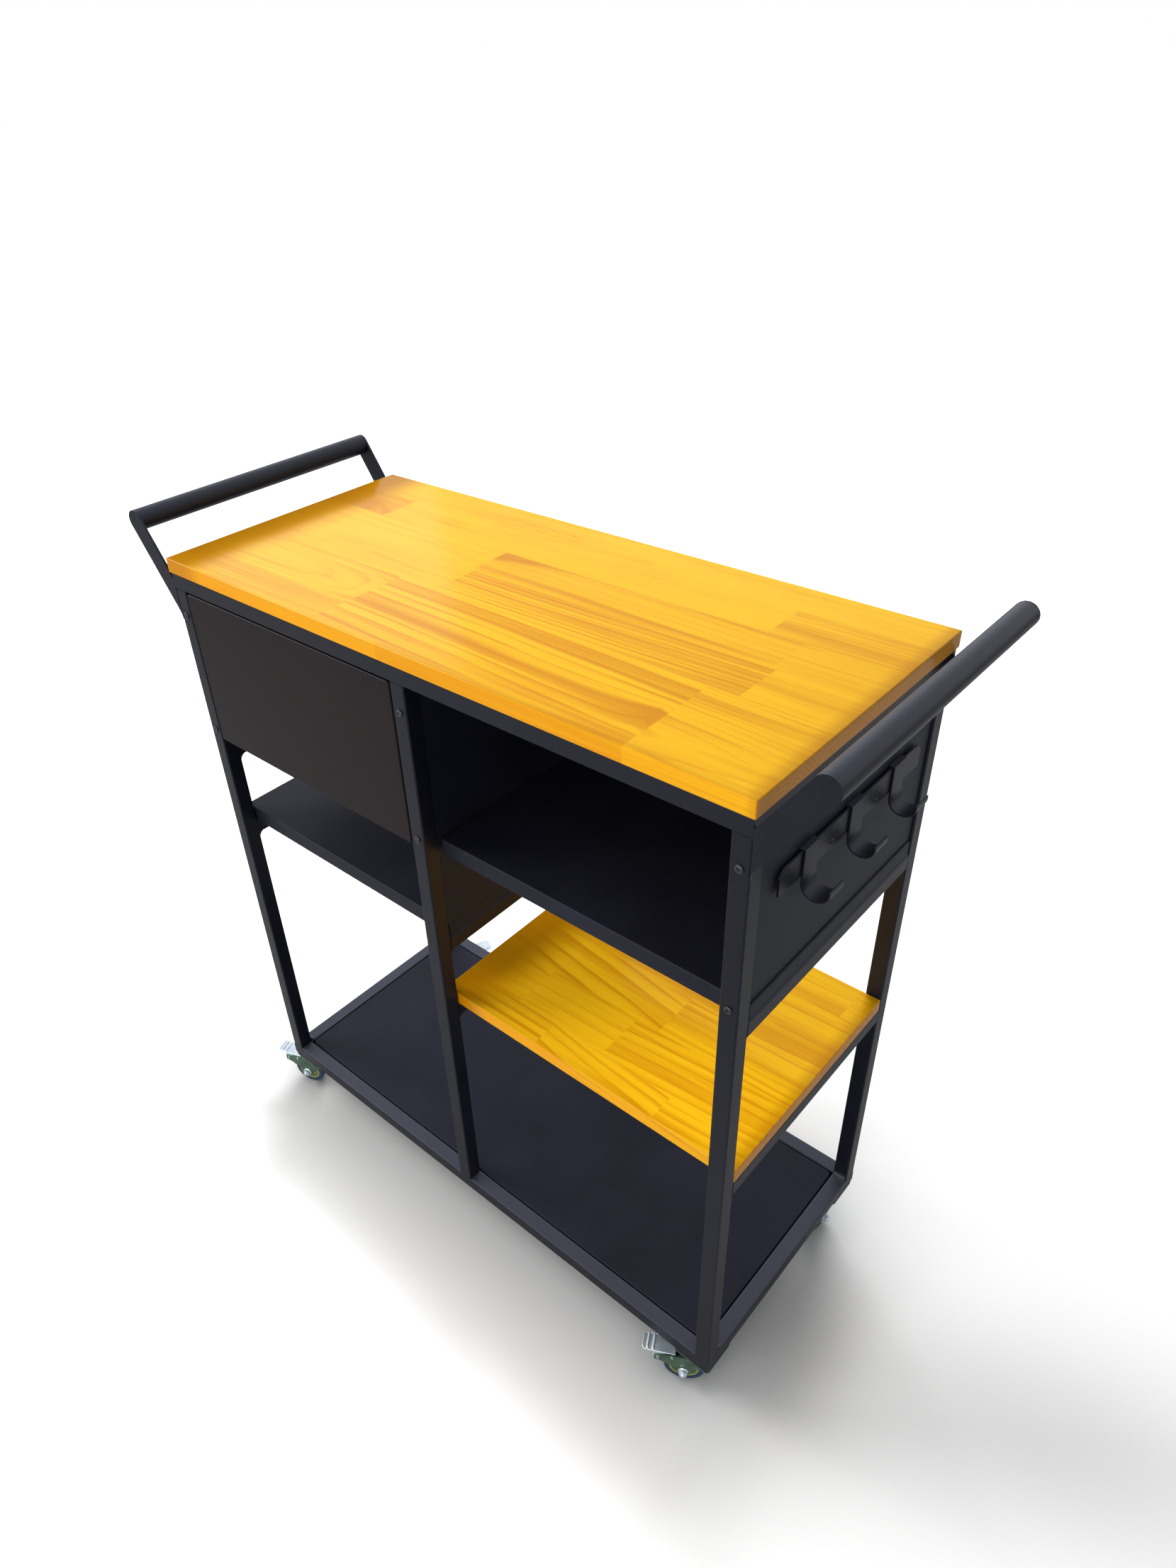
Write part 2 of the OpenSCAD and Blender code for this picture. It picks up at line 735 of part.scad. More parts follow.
// Screws from below through the rails into the wooden boards
module wood_screws() {
    color(screw_colour) for (sy = [-1, 1]) {
        for (x = POST_X) translate([x, sy * wood_screw_y, top_rail_z]) screw(tube + wood_bite);
        for (x = [middle_x, post_x])
            translate([x, sy * wood_screw_y, wood_rail_top - tube]) screw(tube + wood_bite);
    }
}

// Screws with a spacer that hold the left end of the right shelf to the divider
module shelf_screws() {
    color(screw_colour) for (y = SHELF_SCREW_Y)
        translate([right_shelf_x + sheet, y, shelf_screw_z]) rotate([0, -90, 0]) {
            screw(shelf_gap + 2 * sheet + sheet_bite);
            translate([0, 0, sheet]) cylinder(h = shelf_gap, r = head_r);
        }
}

// Outline of a handle arm seen from the front at the right end
module arm_outline() {
    centre = [bar_x, bar_z];
    low_edge = centre + bar_r * arm_side;
    high_edge = centre - bar_r * arm_side;
    // The weld touches the post and the lower edge of the arm at the same distance from their corner
    half_open = (90 + arm_slope) / 2;
    touch = arm_weld_r / tan(half_open);
    weld_corner = [end_x, arm_low];
    translate(centre) circle(bar_r);
    polygon([[end_x, arm_low], low_edge, high_edge, [end_x, arm_high]]);
    difference() {
        polygon([weld_corner - [0, touch], weld_corner + touch * arm_lean, weld_corner + [0, touch]]);
        translate([end_x + arm_weld_r, arm_low - touch]) circle(arm_weld_r);
    }
}

module handle_arms() {
    color(frame_colour) for (end = [0, 1], y = [-face_y + arm_t, face_y])
        mirror([end, 0, 0]) translate([0, y, 0]) rotate([90, 0, 0]) linear_extrude(arm_t) arm_outline();
}

module handle_bar(side) {
    l = 2 * (face_y - arm_t);
    color(frame_colour) translate([side * bar_x, 0, bar_z]) rotate([90, 0, 0]) difference() {
        cylinder(h = l, r = bar_r, center = true);
        cylinder(h = l + 2 * cut, r = bar_r - bar_wall, center = true);
    }
}

module handle_bar_left() handle_bar(-1);
module handle_bar_right() handle_bar(1);

// Drawer front: a sheet folded back on four sides, with lips turned in behind it
module drawer_front() {
    w = front_x1 - front_x0;
    color(drawer_colour) difference() {
        translate([front_x0, -face_y, front_z]) cube([w, tube, drawer_front_h]);
        translate([front_x0 + sheet, sheet - face_y, front_z + sheet])
            cube([w - 2 * sheet, tube - 2 * sheet, drawer_front_h - 2 * sheet]);
        translate([front_x0 + front_lip, -in_y - 2 * sheet, front_z + front_lip])
            cube([w - 2 * front_lip, 4 * sheet, drawer_front_h - 2 * front_lip]);
        drawer_screw_holes(thread_clear);
    }
}

module drawer_screw_holes(clear) {
    for (x = DRAWER_SCREW_X, z = DRAWER_SCREW_Z)
        translate([x, -in_y, z]) rotate([90, 0, 0])
            cylinder(h = 4 * sheet, r = screw_r + clear, center = true);
}

module drawer_box() {
    w = box_x1 - box_x0;
    color(panel_colour) difference() {
        translate([box_x0, -in_y, box_z]) cube([w, box_l, box_h]);
        translate([box_x0 + box_wall, box_wall - in_y, box_z + box_wall])
            cube([w - 2 * box_wall, box_l - 2 * box_wall, box_h]);
        drawer_screw_holes(screw_clear);
    }
}

module drawer_screws() {
    color(screw_colour) for (x = DRAWER_SCREW_X, z = DRAWER_SCREW_Z)
        translate([x, box_wall - in_y, z]) rotate([90, 0, 0]) screw(box_wall + sheet + sheet_bite);
}

// One channel of a runner: its web starts at u0, its lips reach to u1, half its height is half.
// U runs from the side of the cart towards the drawer; flip turns the open side back
module runner_channel(u0, u1, half, flip) {
    inner = half - runner_sheet;
    web = flip ? u1 - runner_sheet : u0;
    difference() {
        translate([u0, runner_y, runner_z - half]) cube([u1 - u0, runner_l, 2 * half]);
        translate([flip ? u0 - cut : web + runner_sheet, runner_y - cut, runner_z - inner])
            cube([u1 - u0 - runner_sheet + cut, runner_l + 2 * cut, 2 * inner]);
    }
}

// Both runners from one profile: the left one as drawn, the right one mirrored
module both_runners() {
    translate([runner_x0, 0, 0]) children();
    translate([runner_x1, 0, 0]) mirror([1, 0, 0]) children();
}

// A bent foot that carries the outer member on the panel beside it; gap is its length along X
module runner_foot(gap) {
    for (sy = [-1, 1]) translate([-gap, sy * foot_y - foot_w / 2, runner_z - outer_half])
        difference() {
            cube([gap, foot_w, runner_h]);
            translate([foot_sheet, foot_sheet, -cut])
                cube([gap - 2 * foot_sheet, foot_w - 2 * foot_sheet, runner_h + 2 * cut]);
        }
}

module runner_outer() {
    color(zinc_colour) {
        both_runners() runner_channel(0, runner_t - 3 * runner_sheet, outer_half, false);
        translate([runner_x0, 0, 0]) runner_foot(runner_x0 + panel_face - sheet);
        translate([runner_x1, 0, 0]) mirror([1, 0, 0]) runner_foot(divider_left - runner_x1);
    }
}

module runner_middle() {
    color(zinc_colour) both_runners()
        runner_channel(member_step, runner_t - 2 * runner_sheet, middle_half, false);
}

module runner_inner() {
    color(zinc_colour) both_runners()
        runner_channel(2 * member_step + runner_clear, runner_t, inner_half, true);
}

// Places its children at one castor, drawn with the pedal along +X; k counts as CASTORS does
module at_castor(k) {
    translate([CASTORS[k][0], CASTORS[k][1], 0]) rotate([0, 0, CASTORS[k][2]]) children();
}

// The places of all castors without their turn
module at_corners() {
    for (c = CASTORS) translate([c[0], c[1], 0]) children();
}

module corner_plate(z, hole_r) {
    translate([0, 0, z]) linear_extrude(plate_t) difference() {
        round_rect(plate, plate, plate_r);
        for (sx = [-1, 1], sy = [-1, 1])
            translate([sx * castor_screw, sy * castor_screw]) circle(hole_r);
    }
}

module corner_plates() {
    color(frame_colour) at_corners() corner_plate(castor_h, screw_r + thread_clear);
}

// Castor plate with its upper race and the riveted king pin
module castor_plates() {
    color(zinc_colour) at_corners() {
        corner_plate(plate_z, screw_r + screw_clear);
        translate([0, 0, plate_z - race_h]) cylinder(h = race_h, r = upper_race_r);
        translate([0, 0, crown_z - king_gap]) cylinder(h = plate_z - crown_z, r = king_r);
        translate([0, 0, crown_z - king_gap - king_head_h])
            cylinder(h = king_head_h, r1 = king_head_r - king_chamfer, r2 = king_head_r);
    }
}

module castor_screws() {
    color(screw_colour) at_corners() for (sx = [-1, 1], sy = [-1, 1])
        translate([sx * castor_screw, sy * castor_screw, plate_z]) {
            cylinder(h = 2 * plate_t, r = screw_r);
            translate([0, 0, -castor_head_h]) cylinder(h = castor_head_h, r = head_r);
        }
}

// Outline of one cheek of the fork seen from the side
module cheek_outline() {
    boss_top = wheel_r + boss_rise;
    polygon([
        [-crown_front, crown_top], [-crown_front, crown_top - cheek_front_h],
        [trail - boss_r, boss_top], [trail + boss_r, boss_top],
        [ear_end - ear_cut_l, pivot_z - ear_low - ear_cut_h], [ear_end, pivot_z - ear_low],
        [ear_end, pivot_z + ear_high], [stop_s + 2 * stop_r, crown_top]
    ]);
    translate([trail, wheel_r]) circle(boss_r);
}

// A riveted pin across the fork at place s and height z
module cross_rivet(s, z, r) {
    half = fork_gap / 2 + fork_t;
    translate([s, 0, z]) rotate([90, 0, 0]) {
        cylinder(h = 2 * half, r = r, center = true);
        for (side = [-1, 1]) translate([0, 0, side * (half + rivet_head_h / 2)])
            cylinder(h = rivet_head_h, r = rivet_head_r, center = true);
    }
}

// A round hole across the fork for a pin of radius r
module cross_hole(s, z, r) {
    translate([s, 0, z]) rotate([90, 0, 0]) cylinder(h = 2 * fork_gap, r = r + run_clear, center = true);
}

// Fork: two cheeks under a crown with the lower race, the pivot of the pedal and its stop
module fork(k) {
    cheek_y = (fork_gap + fork_t) / 2;
    color(zinc_colour) at_castor(k) difference() {
        union() {
            for (side = [-1, 1]) translate([0, side * cheek_y, 0]) rotate([90, 0, 0])
                linear_extrude(fork_t, center = true) cheek_outline();
            translate([0, 0, crown_z]) linear_extrude(fork_t) {
                circle(crown_r);
                translate([-crown_front, -cheek_y - fork_t / 2])
                    square([trail + crown_front, 2 * cheek_y + fork_t]);
            }
            translate([0, 0, crown_top]) cylinder(h = race_h, r1 = crown_r, r2 = race_r);
            cross_rivet(pivot_s, pivot_z, pivot_r);
            cross_rivet(stop_s, stop_z, stop_r);
        }
        cylinder(h = castor_h, r = king_r + run_clear);
        cross_hole(trail, wheel_r, axle_r);
    }
}

// Axle: a hexagon bolt through both cheeks with its nut
module axle(k) {
    outside = fork_gap / 2 + fork_t;
    color(zinc_colour) at_castor(k) translate([trail, 0, wheel_r]) rotate([-90, 0, 0]) {
        translate([0, 0, -outside]) cylinder(h = 2 * outside + nut_h + stud_end, r = axle_r);
        translate([0, 0, -outside - bolt_head_h]) cylinder(h = bolt_head_h, r = nut_r, $fn = 6);
        translate([0, 0, outside]) cylinder(h = nut_h, r = nut_r, $fn = 6);
    }
}

// Wheel centre: the web is turned thinner between the hub and the rim
module wheel(k) {
    rim_half = tyre_w / 2 - rim_inset;
    pocket = rim_half - web_w / 2;
    color(wheel_colour) at_castor(k) difference() {
        translate([trail, 0, wheel_r]) rotate([90, 0, 0]) difference() {
            union() {
                cylinder(h = fork_gap - 2 * hub_gap, r = hub_r, center = true);
                cylinder(h = 2 * rim_half, r = rim_r, center = true);
            }
            for (side = [-1, 1]) translate([0, 0, side * (web_w / 2 + pocket)]) difference() {
                cylinder(h = 2 * pocket, r = web_r, center = true);
                cylinder(h = 2 * fork_gap, r = hub_r, center = true);
            }
        }
        cross_hole(trail, wheel_r, axle_r);
    }
}

module tyre(k) {
    half = tyre_w / 2;
    color(tyre_colour) at_castor(k) translate([trail, 0, wheel_r]) rotate([90, 0, 0])
        rotate_extrude() {
            translate([rim_r, -half]) square([tyre_t - tyre_edge_r, tyre_w]);
            translate([rim_r, tyre_edge_r - half]) square([tyre_t, tyre_w - 2 * tyre_edge_r]);
            for (side = [-1, 1])
                translate([wheel_r - tyre_edge_r, side * (half - tyre_edge_r)]) circle(tyre_edge_r);
        }
}

// Outline of the pedal sheet seen from above, with round corners at the tip
module pedal_outline() {
    flat_w = pedal_w - 2 * pedal_corner_r;
    translate([pedal_start, -pedal_w / 2])
        square([pedal_reach - pedal_corner_r - pedal_start, pedal_w]);
    translate([pedal_start, -flat_w / 2]) square([pedal_reach - pedal_start, flat_w]);
    for (side = [-1, 1])
        translate([pedal_reach - pedal_corner_r, side * flat_w / 2]) circle(pedal_corner_r);
}

// Brake pedal with ribs at the tip, side flanges on the pivot and a shoe that meets the tyre
module pedal(k) {
    flange_z = pivot_z - flange_drop;
    shoe_z = pivot_z - shoe_drop;
    color(zinc_colour) at_castor(k) difference() {
        union() {
            translate([0, 0, pedal_z]) linear_extrude(pedal_t) pedal_outline();
            for (y = [-pedal_w / 2, pedal_w / 2 - flange_t])
                translate([pivot_s - flange_near, y, flange_z])
                    cube([flange_near + flange_far, flange_t, pedal_z - flange_z]);
            translate([pivot_s - shoe_back, -shoe_w / 2, shoe_z])
                cube([flange_t, shoe_w, pedal_z - shoe_z]);
            for (i = [0:ribs - 1])
                translate([pedal_reach - rib_inset - i * rib_pitch, 0, pedal_z + pedal_t])
                    rotate([90, 0, 0])
                        cylinder(h = pedal_w - 2 * rib_side, r = rib_r, center = true);
        }
        cross_hole(pivot_s, pivot_z, pivot_r);
    }
}

module fork_front_left() fork(0);
module axle_front_left() axle(0);
module wheel_front_left() wheel(0);
module tyre_front_left() tyre(0);
module pedal_front_left() pedal(0);
module fork_front_right() fork(1);
module axle_front_right() axle(1);
module wheel_front_right() wheel(1);
module tyre_front_right() tyre(1);
module pedal_front_right() pedal(1);
module fork_back_left() fork(2);
module axle_back_left() axle(2);
module wheel_back_left() wheel(2);
module tyre_back_left() tyre(2);
module pedal_back_left() pedal(2);
module fork_back_right() fork(3);
module axle_back_right() axle(3);
module wheel_back_right() wheel(3);
module tyre_back_right() tyre(3);
module pedal_back_right() pedal(3);

post_front_left();
post_front_middle();
post_front_right();
posts_back();
top_rail_front();
top_rail_back();
top_cross_rails();
base_rail_front();
base_rail_back();
base_end_rails();
panel_rails();
left_shelf_rails();
wood_shelf_rails();
right_end_panel();
left_end_panel();
divider();
back_panels();
floor_tray();
steel_shelf_right();
steel_shelf_left();
wood_top();
wood_shelf();
hook_strip();
hooks();
panel_screws();
wood_screws();
shelf_screws();
handle_arms();
handle_bar_left();
handle_bar_right();
drawer_front();
drawer_box();
drawer_screws();
runner_outer();
runner_middle();
runner_inner();
corner_plates();
castor_plates();
castor_screws();
fork_front_left();
axle_front_left();
wheel_front_left();
tyre_front_left();
pedal_front_left();
fork_front_right();
axle_front_right();
wheel_front_right();
tyre_front_right();
pedal_front_right();
fork_back_left();
axle_back_left();
wheel_back_left();
tyre_back_left();
pedal_back_left();
fork_back_right();
axle_back_right();
wheel_back_right();
tyre_back_right();
pedal_back_right();
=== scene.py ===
"""Looks of a kitchen cart: powder-coated tube and sheet, boards of stained pine, zinc castors.

Metres, +Z up, -Y to the front, floor at z = 0. The sections are shader tools, view and light,
finishes, mesh tools, boards, sheet parts, screws, castors, the floor and the pieces. Sizes that
the solids fix are read from the frame, and the others are named beside the piece they belong to.
"""

import json
import math

import bmesh
import bpy
import numpy as np
from mathutils import Euler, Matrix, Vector


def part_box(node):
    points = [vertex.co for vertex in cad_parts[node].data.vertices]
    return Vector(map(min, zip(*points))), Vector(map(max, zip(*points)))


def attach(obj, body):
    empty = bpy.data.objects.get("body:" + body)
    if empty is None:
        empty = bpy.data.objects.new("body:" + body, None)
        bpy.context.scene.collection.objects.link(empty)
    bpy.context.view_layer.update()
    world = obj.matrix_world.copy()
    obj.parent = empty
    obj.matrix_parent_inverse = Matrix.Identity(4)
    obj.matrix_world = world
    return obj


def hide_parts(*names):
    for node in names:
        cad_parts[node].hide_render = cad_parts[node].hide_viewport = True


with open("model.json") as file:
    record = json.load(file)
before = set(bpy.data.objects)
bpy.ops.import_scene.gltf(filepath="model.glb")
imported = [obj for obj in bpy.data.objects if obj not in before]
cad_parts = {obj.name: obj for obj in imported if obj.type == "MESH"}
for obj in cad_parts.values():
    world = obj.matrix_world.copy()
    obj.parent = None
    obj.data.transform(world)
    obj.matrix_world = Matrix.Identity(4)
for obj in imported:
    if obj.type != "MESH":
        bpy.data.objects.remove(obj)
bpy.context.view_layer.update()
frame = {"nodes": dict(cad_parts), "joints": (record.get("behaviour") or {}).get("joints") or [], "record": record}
NODES = frame["nodes"]
SCENE = bpy.context.scene
CORNERS = ("front_left", "front_right", "back_left", "back_right")
X, Y, Z = range(3)


# Shader tools

class Num:
    """A number that varies over a surface; arithmetic on it adds Math nodes."""

    def __init__(self, nodes, socket):
        self.nodes, self.socket = nodes, socket

    def calc(self, operation, *values):
        """The result of a Math node fed with this number and then the values."""
        inputs = dict(enumerate((self, *values)))
        return self.nodes.number(0, "ShaderNodeMath", {"operation": operation}, inputs)

    def __add__(self, other):
        return self.calc("ADD", other)

    def __sub__(self, other):
        return self.calc("SUBTRACT", other)

    def __mul__(self, other):
        return self.calc("MULTIPLY", other)

    def __truediv__(self, other):
        return self.calc("DIVIDE", other)

    def __pow__(self, other):
        return self.calc("POWER", other)

    def __rsub__(self, other):
        return self * -1 + other

    def __abs__(self):
        return self.calc("ABSOLUTE")

    __radd__, __rmul__ = __add__, __mul__

    def band(self, low, high):
        """0 at low and before it, 1 at high and past it, with a smooth step between them."""
        return self.nodes.number(0, "ShaderNodeMapRange", {"interpolation_type": "SMOOTHSTEP"}, {
            "Value": self, "From Min": low, "From Max": high})


class Nodes:
    """An empty node tree and the calls that fill it."""

    def __init__(self, tree):
        self.tree = tree
        tree.nodes.clear()

    def node(self, kind, settings=None, inputs=None):
        """A node with its settings made first, then the values or links of its sockets."""
        node = self.tree.nodes.new(kind)
        for key, value in (settings or {}).items():
            if key == "stops":
                ramp = node.color_ramp
                while len(ramp.elements) < len(value):
                    ramp.elements.new(0.5)
                for element, (place, level) in zip(ramp.elements, value):
                    element.position, element.color = place, (level, level, level, 1)
            else:
                setattr(node, key, value)
        for key, value in (inputs or {}).items():
            self.feed(node.inputs[key], value)
        return node

    def feed(self, socket, value):
        """Links a socket or sets its value."""
        if isinstance(value, Num):
            value = value.socket
        if isinstance(value, bpy.types.NodeSocket):
            self.tree.links.new(value, socket)
        elif isinstance(value, tuple) and len(value) == 3 and socket.type == "RGBA":
            socket.default_value = (*value, 1)
        else:
            socket.default_value = value

    def number(self, output, kind, settings=None, inputs=None):
        """One output of a new node, as a number."""
        return Num(self, self.node(kind, settings, inputs).outputs[output])

    def split(self, vector):
        """The three numbers of a vector."""
        parts = self.node("ShaderNodeSeparateXYZ", {}, {0: vector}).outputs
        return [Num(self, part) for part in parts]

    def point(self, x, y, z):
        """The vector of three numbers."""
        return self.node("ShaderNodeCombineXYZ", {}, {0: x, 1: y, 2: z}).outputs[0]

    def noise(self, place, scale, detail=2, rough=0.5):
        """Fractal noise from 0 to 1 at a place."""
        return self.number(0, "ShaderNodeTexNoise", {}, {
            "Vector": place, "Scale": scale, "Detail": detail, "Roughness": rough})

    def ramp(self, value, stops):
        """A number run through a ramp of (place, level) stops."""
        return self.number(0, "ShaderNodeValToRGB", {"stops": stops}, {0: value})

    def blend(self, share, first, second):
        """Colour first, going over to second where share is 1."""
        return self.node("ShaderNodeMix", {"data_type": "RGBA"}, {
            "Factor": share, 6: first, 7: second}).outputs[2]


class Finish(Nodes):
    """A material while it is put together: a Principled shader and the nodes that feed it."""

    def __init__(self, name):
        self.material = bpy.data.materials.new(name)
        self.material.use_nodes = True
        super().__init__(self.material.node_tree)
        self.shader = self.node("ShaderNodeBsdfPrincipled")
        self.node("ShaderNodeOutputMaterial", {}, {"Surface": self.shader.outputs[0]})
        self.where = self.node("ShaderNodeTexCoord").outputs["Object"]
        self.x, self.y, self.z = self.split(self.where)

    def attribute(self, name):
        """The three numbers of a vector attribute of the mesh."""
        return self.split(self.node(
            "ShaderNodeAttribute", {"attribute_name": name}).outputs["Vector"])

    def facing(self):
        """The three numbers of the way that the surface faces."""
        return self.split(self.node("ShaderNodeTexCoord").outputs["Normal"])

    def bump(self, height, distance):
        """Tilts the normal by a height field; distance is its full height in metres."""
        self.feed(self.shader.inputs["Normal"], self.node("ShaderNodeBump", {}, {
            "Strength": 1.0, "Distance": distance, "Height": height}).outputs[0])

    def surface(self, **inputs):
        """Sets sockets of the shader, with low lines for the spaces in their names."""
        for key, value in inputs.items():
            self.feed(self.shader.inputs[key.replace("_", " ")], value)
        return self.material


# View and light

# Standpoint in metres, turns in degrees, lens and sensor in millimetres, shifts as sensor shares
EYE = (0.7295, -0.7565, 1.3762)
YAW, PITCH, ROLL = 43.58, -35.39, -3.28
LENS, SENSOR = 24.66, 36
SHIFT_X, SHIFT_Y = 0.0302, 0.0147
NEAREST, FURTHEST = 0.05, 100


def place_camera():
    """Camera at the standpoint of the photograph."""
    data = bpy.data.cameras.new("camera")
    data.lens, data.sensor_width = LENS, SENSOR
    data.shift_x, data.shift_y = SHIFT_X, SHIFT_Y
    data.clip_start, data.clip_end = NEAREST, FURTHEST
    camera = bpy.data.objects.new("camera", data)
    SCENE.collection.objects.link(camera)
    turn = Euler((0, 0, math.radians(YAW))).to_matrix()
    turn = turn @ Euler((math.radians(90 + PITCH), 0, 0)).to_matrix()
    turn = turn @ Euler((0, 0, math.radians(ROLL))).to_matrix()
    camera.matrix_world = turn.to_4x4()
    camera.location = EYE
    SCENE.camera = camera


def softbox(name, place, aim, width, height, power, colour=(1, 1, 1), glossy=True):
    """A rectangular studio lamp at a place, turned to a point, out of the camera's sight."""
    data = bpy.data.lights.new(name, "AREA")
    data.shape, data.size, data.size_y = "RECTANGLE", width, height
    data.energy, data.color = power, colour
    lamp = bpy.data.objects.new(name, data)
    SCENE.collection.objects.link(lamp)
    lamp.location = place
    lamp.rotation_euler = (Vector(aim) - Vector(place)).to_track_quat("-Z", "Y").to_euler()
    lamp.visible_camera, lamp.visible_glossy = False, glossy


def light_scene():
    """A white studio. The camera sees it white, and so does gloss near the horizon, a little less
    higher up. What it casts on the cart comes mostly from its walls: over the height h of a ray
    it is 1.6 - 1.28 smoothstep(h / 0.8). A soft lamp high on the front left gives the shadow, one
    in front and one behind reach the shelves, and a small window at the back left lies in the
    varnish."""
    world = bpy.data.worlds.new("studio")
    SCENE.world = world
    world.use_nodes = True
    w = Nodes(world.node_tree)
    rays = w.node("ShaderNodeLightPath").outputs
    camera, gloss = Num(w, rays["Is Camera Ray"]), Num(w, rays["Is Glossy Ray"])
    height = w.split(w.node("ShaderNodeTexCoord").outputs["Generated"])[2]
    walls = 1.6 - height.band(0.0, 0.8) * 1.28
    mirrored = 1 - height.band(0.15, 0.75) * 0.30
    shine = w.node("ShaderNodeBackground", {}, {
        "Color": w.blend(camera, (0.97, 0.98, 1.0), (1, 1, 1)),
        "Strength": camera + gloss * mirrored + walls * (1 - camera - gloss)})
    w.node("ShaderNodeOutputWorld", {}, {"Surface": shine.outputs[0]})
    softbox("key", (-2.4, -1.3, 2.5), (0, 0, 0.5), 1.3, 1.3, 57, (1, 0.985, 0.96))
    softbox("front", (0.2, -2.9, 1.4), (0.2, 0, 0.6), 2.4, 1.2, 42, (1, 0.99, 0.97))
    softbox("back", (-1.2, 2.6, 1.6), (0.2, 0, 0.4), 2.4, 1.0, 130, glossy=False)
    softbox("window", (-2.8, 1.75, 2.3), (-0.3, 0, 0.9), 1.0, 0.75, 3.2)


# Finishes

# Pale blue of the specks of dust, and of the painted sheen on faces that look up
DUST_AND_SHEEN = (0.28, 0.30, 0.40)
COOL_GLOSS = (0.86, 0.90, 1.0)


def powder_coat(name, colour, sheen, roughness, gloss, painted_top_sheen=0.0):
    """Satin powder coat in two close colours: orange-peel bump of about 0.6 mm, cloudy gloss,
    specks of dust, and a painted sheen of the same pale blue where a face looks up, standing in
    for the light that upward faces catch."""
    f = Finish(name)
    peel = f.noise(f.where, 1500)
    cloud = f.noise(f.where, 9, 3)
    speck = f.noise(f.where, 620).band(0.62, 0.76)
    # Painted sheen: faces that look up are lightened towards the pale blue, as far as painted_top_sheen says
    up = f.facing()[2].band(0.2, 1.0)
    tint = f.blend(cloud.band(0.3, 0.7), colour, sheen)
    f.bump(peel, 0.00005)
    return f.surface(Base_Color=f.blend(speck * 0.04 + up * painted_top_sheen, tint, DUST_AND_SHEEN),
                     Roughness=cloud * 0.10 + (roughness - 0.05) + speck * 0.1, Metallic=0.0,
                     Specular_IOR_Level=gloss, Specular_Tint=COOL_GLOSS)


PALE_PINE = (0.93, 0.510, 0.009)
LATE_PINE = (0.70, 0.275, 0.003)
BROWN_PINE = (0.66, 0.260, 0.004)
FRONT_SHADE_PINE = (0.72, 0.260, 0.001)
DARK_ENDS_AND_SHADE = (0.44, 0.175, 0.001)
END_GRAIN = (0.36, 0.150, 0.040)
YEAR_STOPS = [(0.0, 0.0), (0.30, 0.04), (0.70, 0.45), (0.88, 1.0), (1.0, 0.0)]
KNOT_ALONG, KNOT_ACROSS = 0.035, 0.024


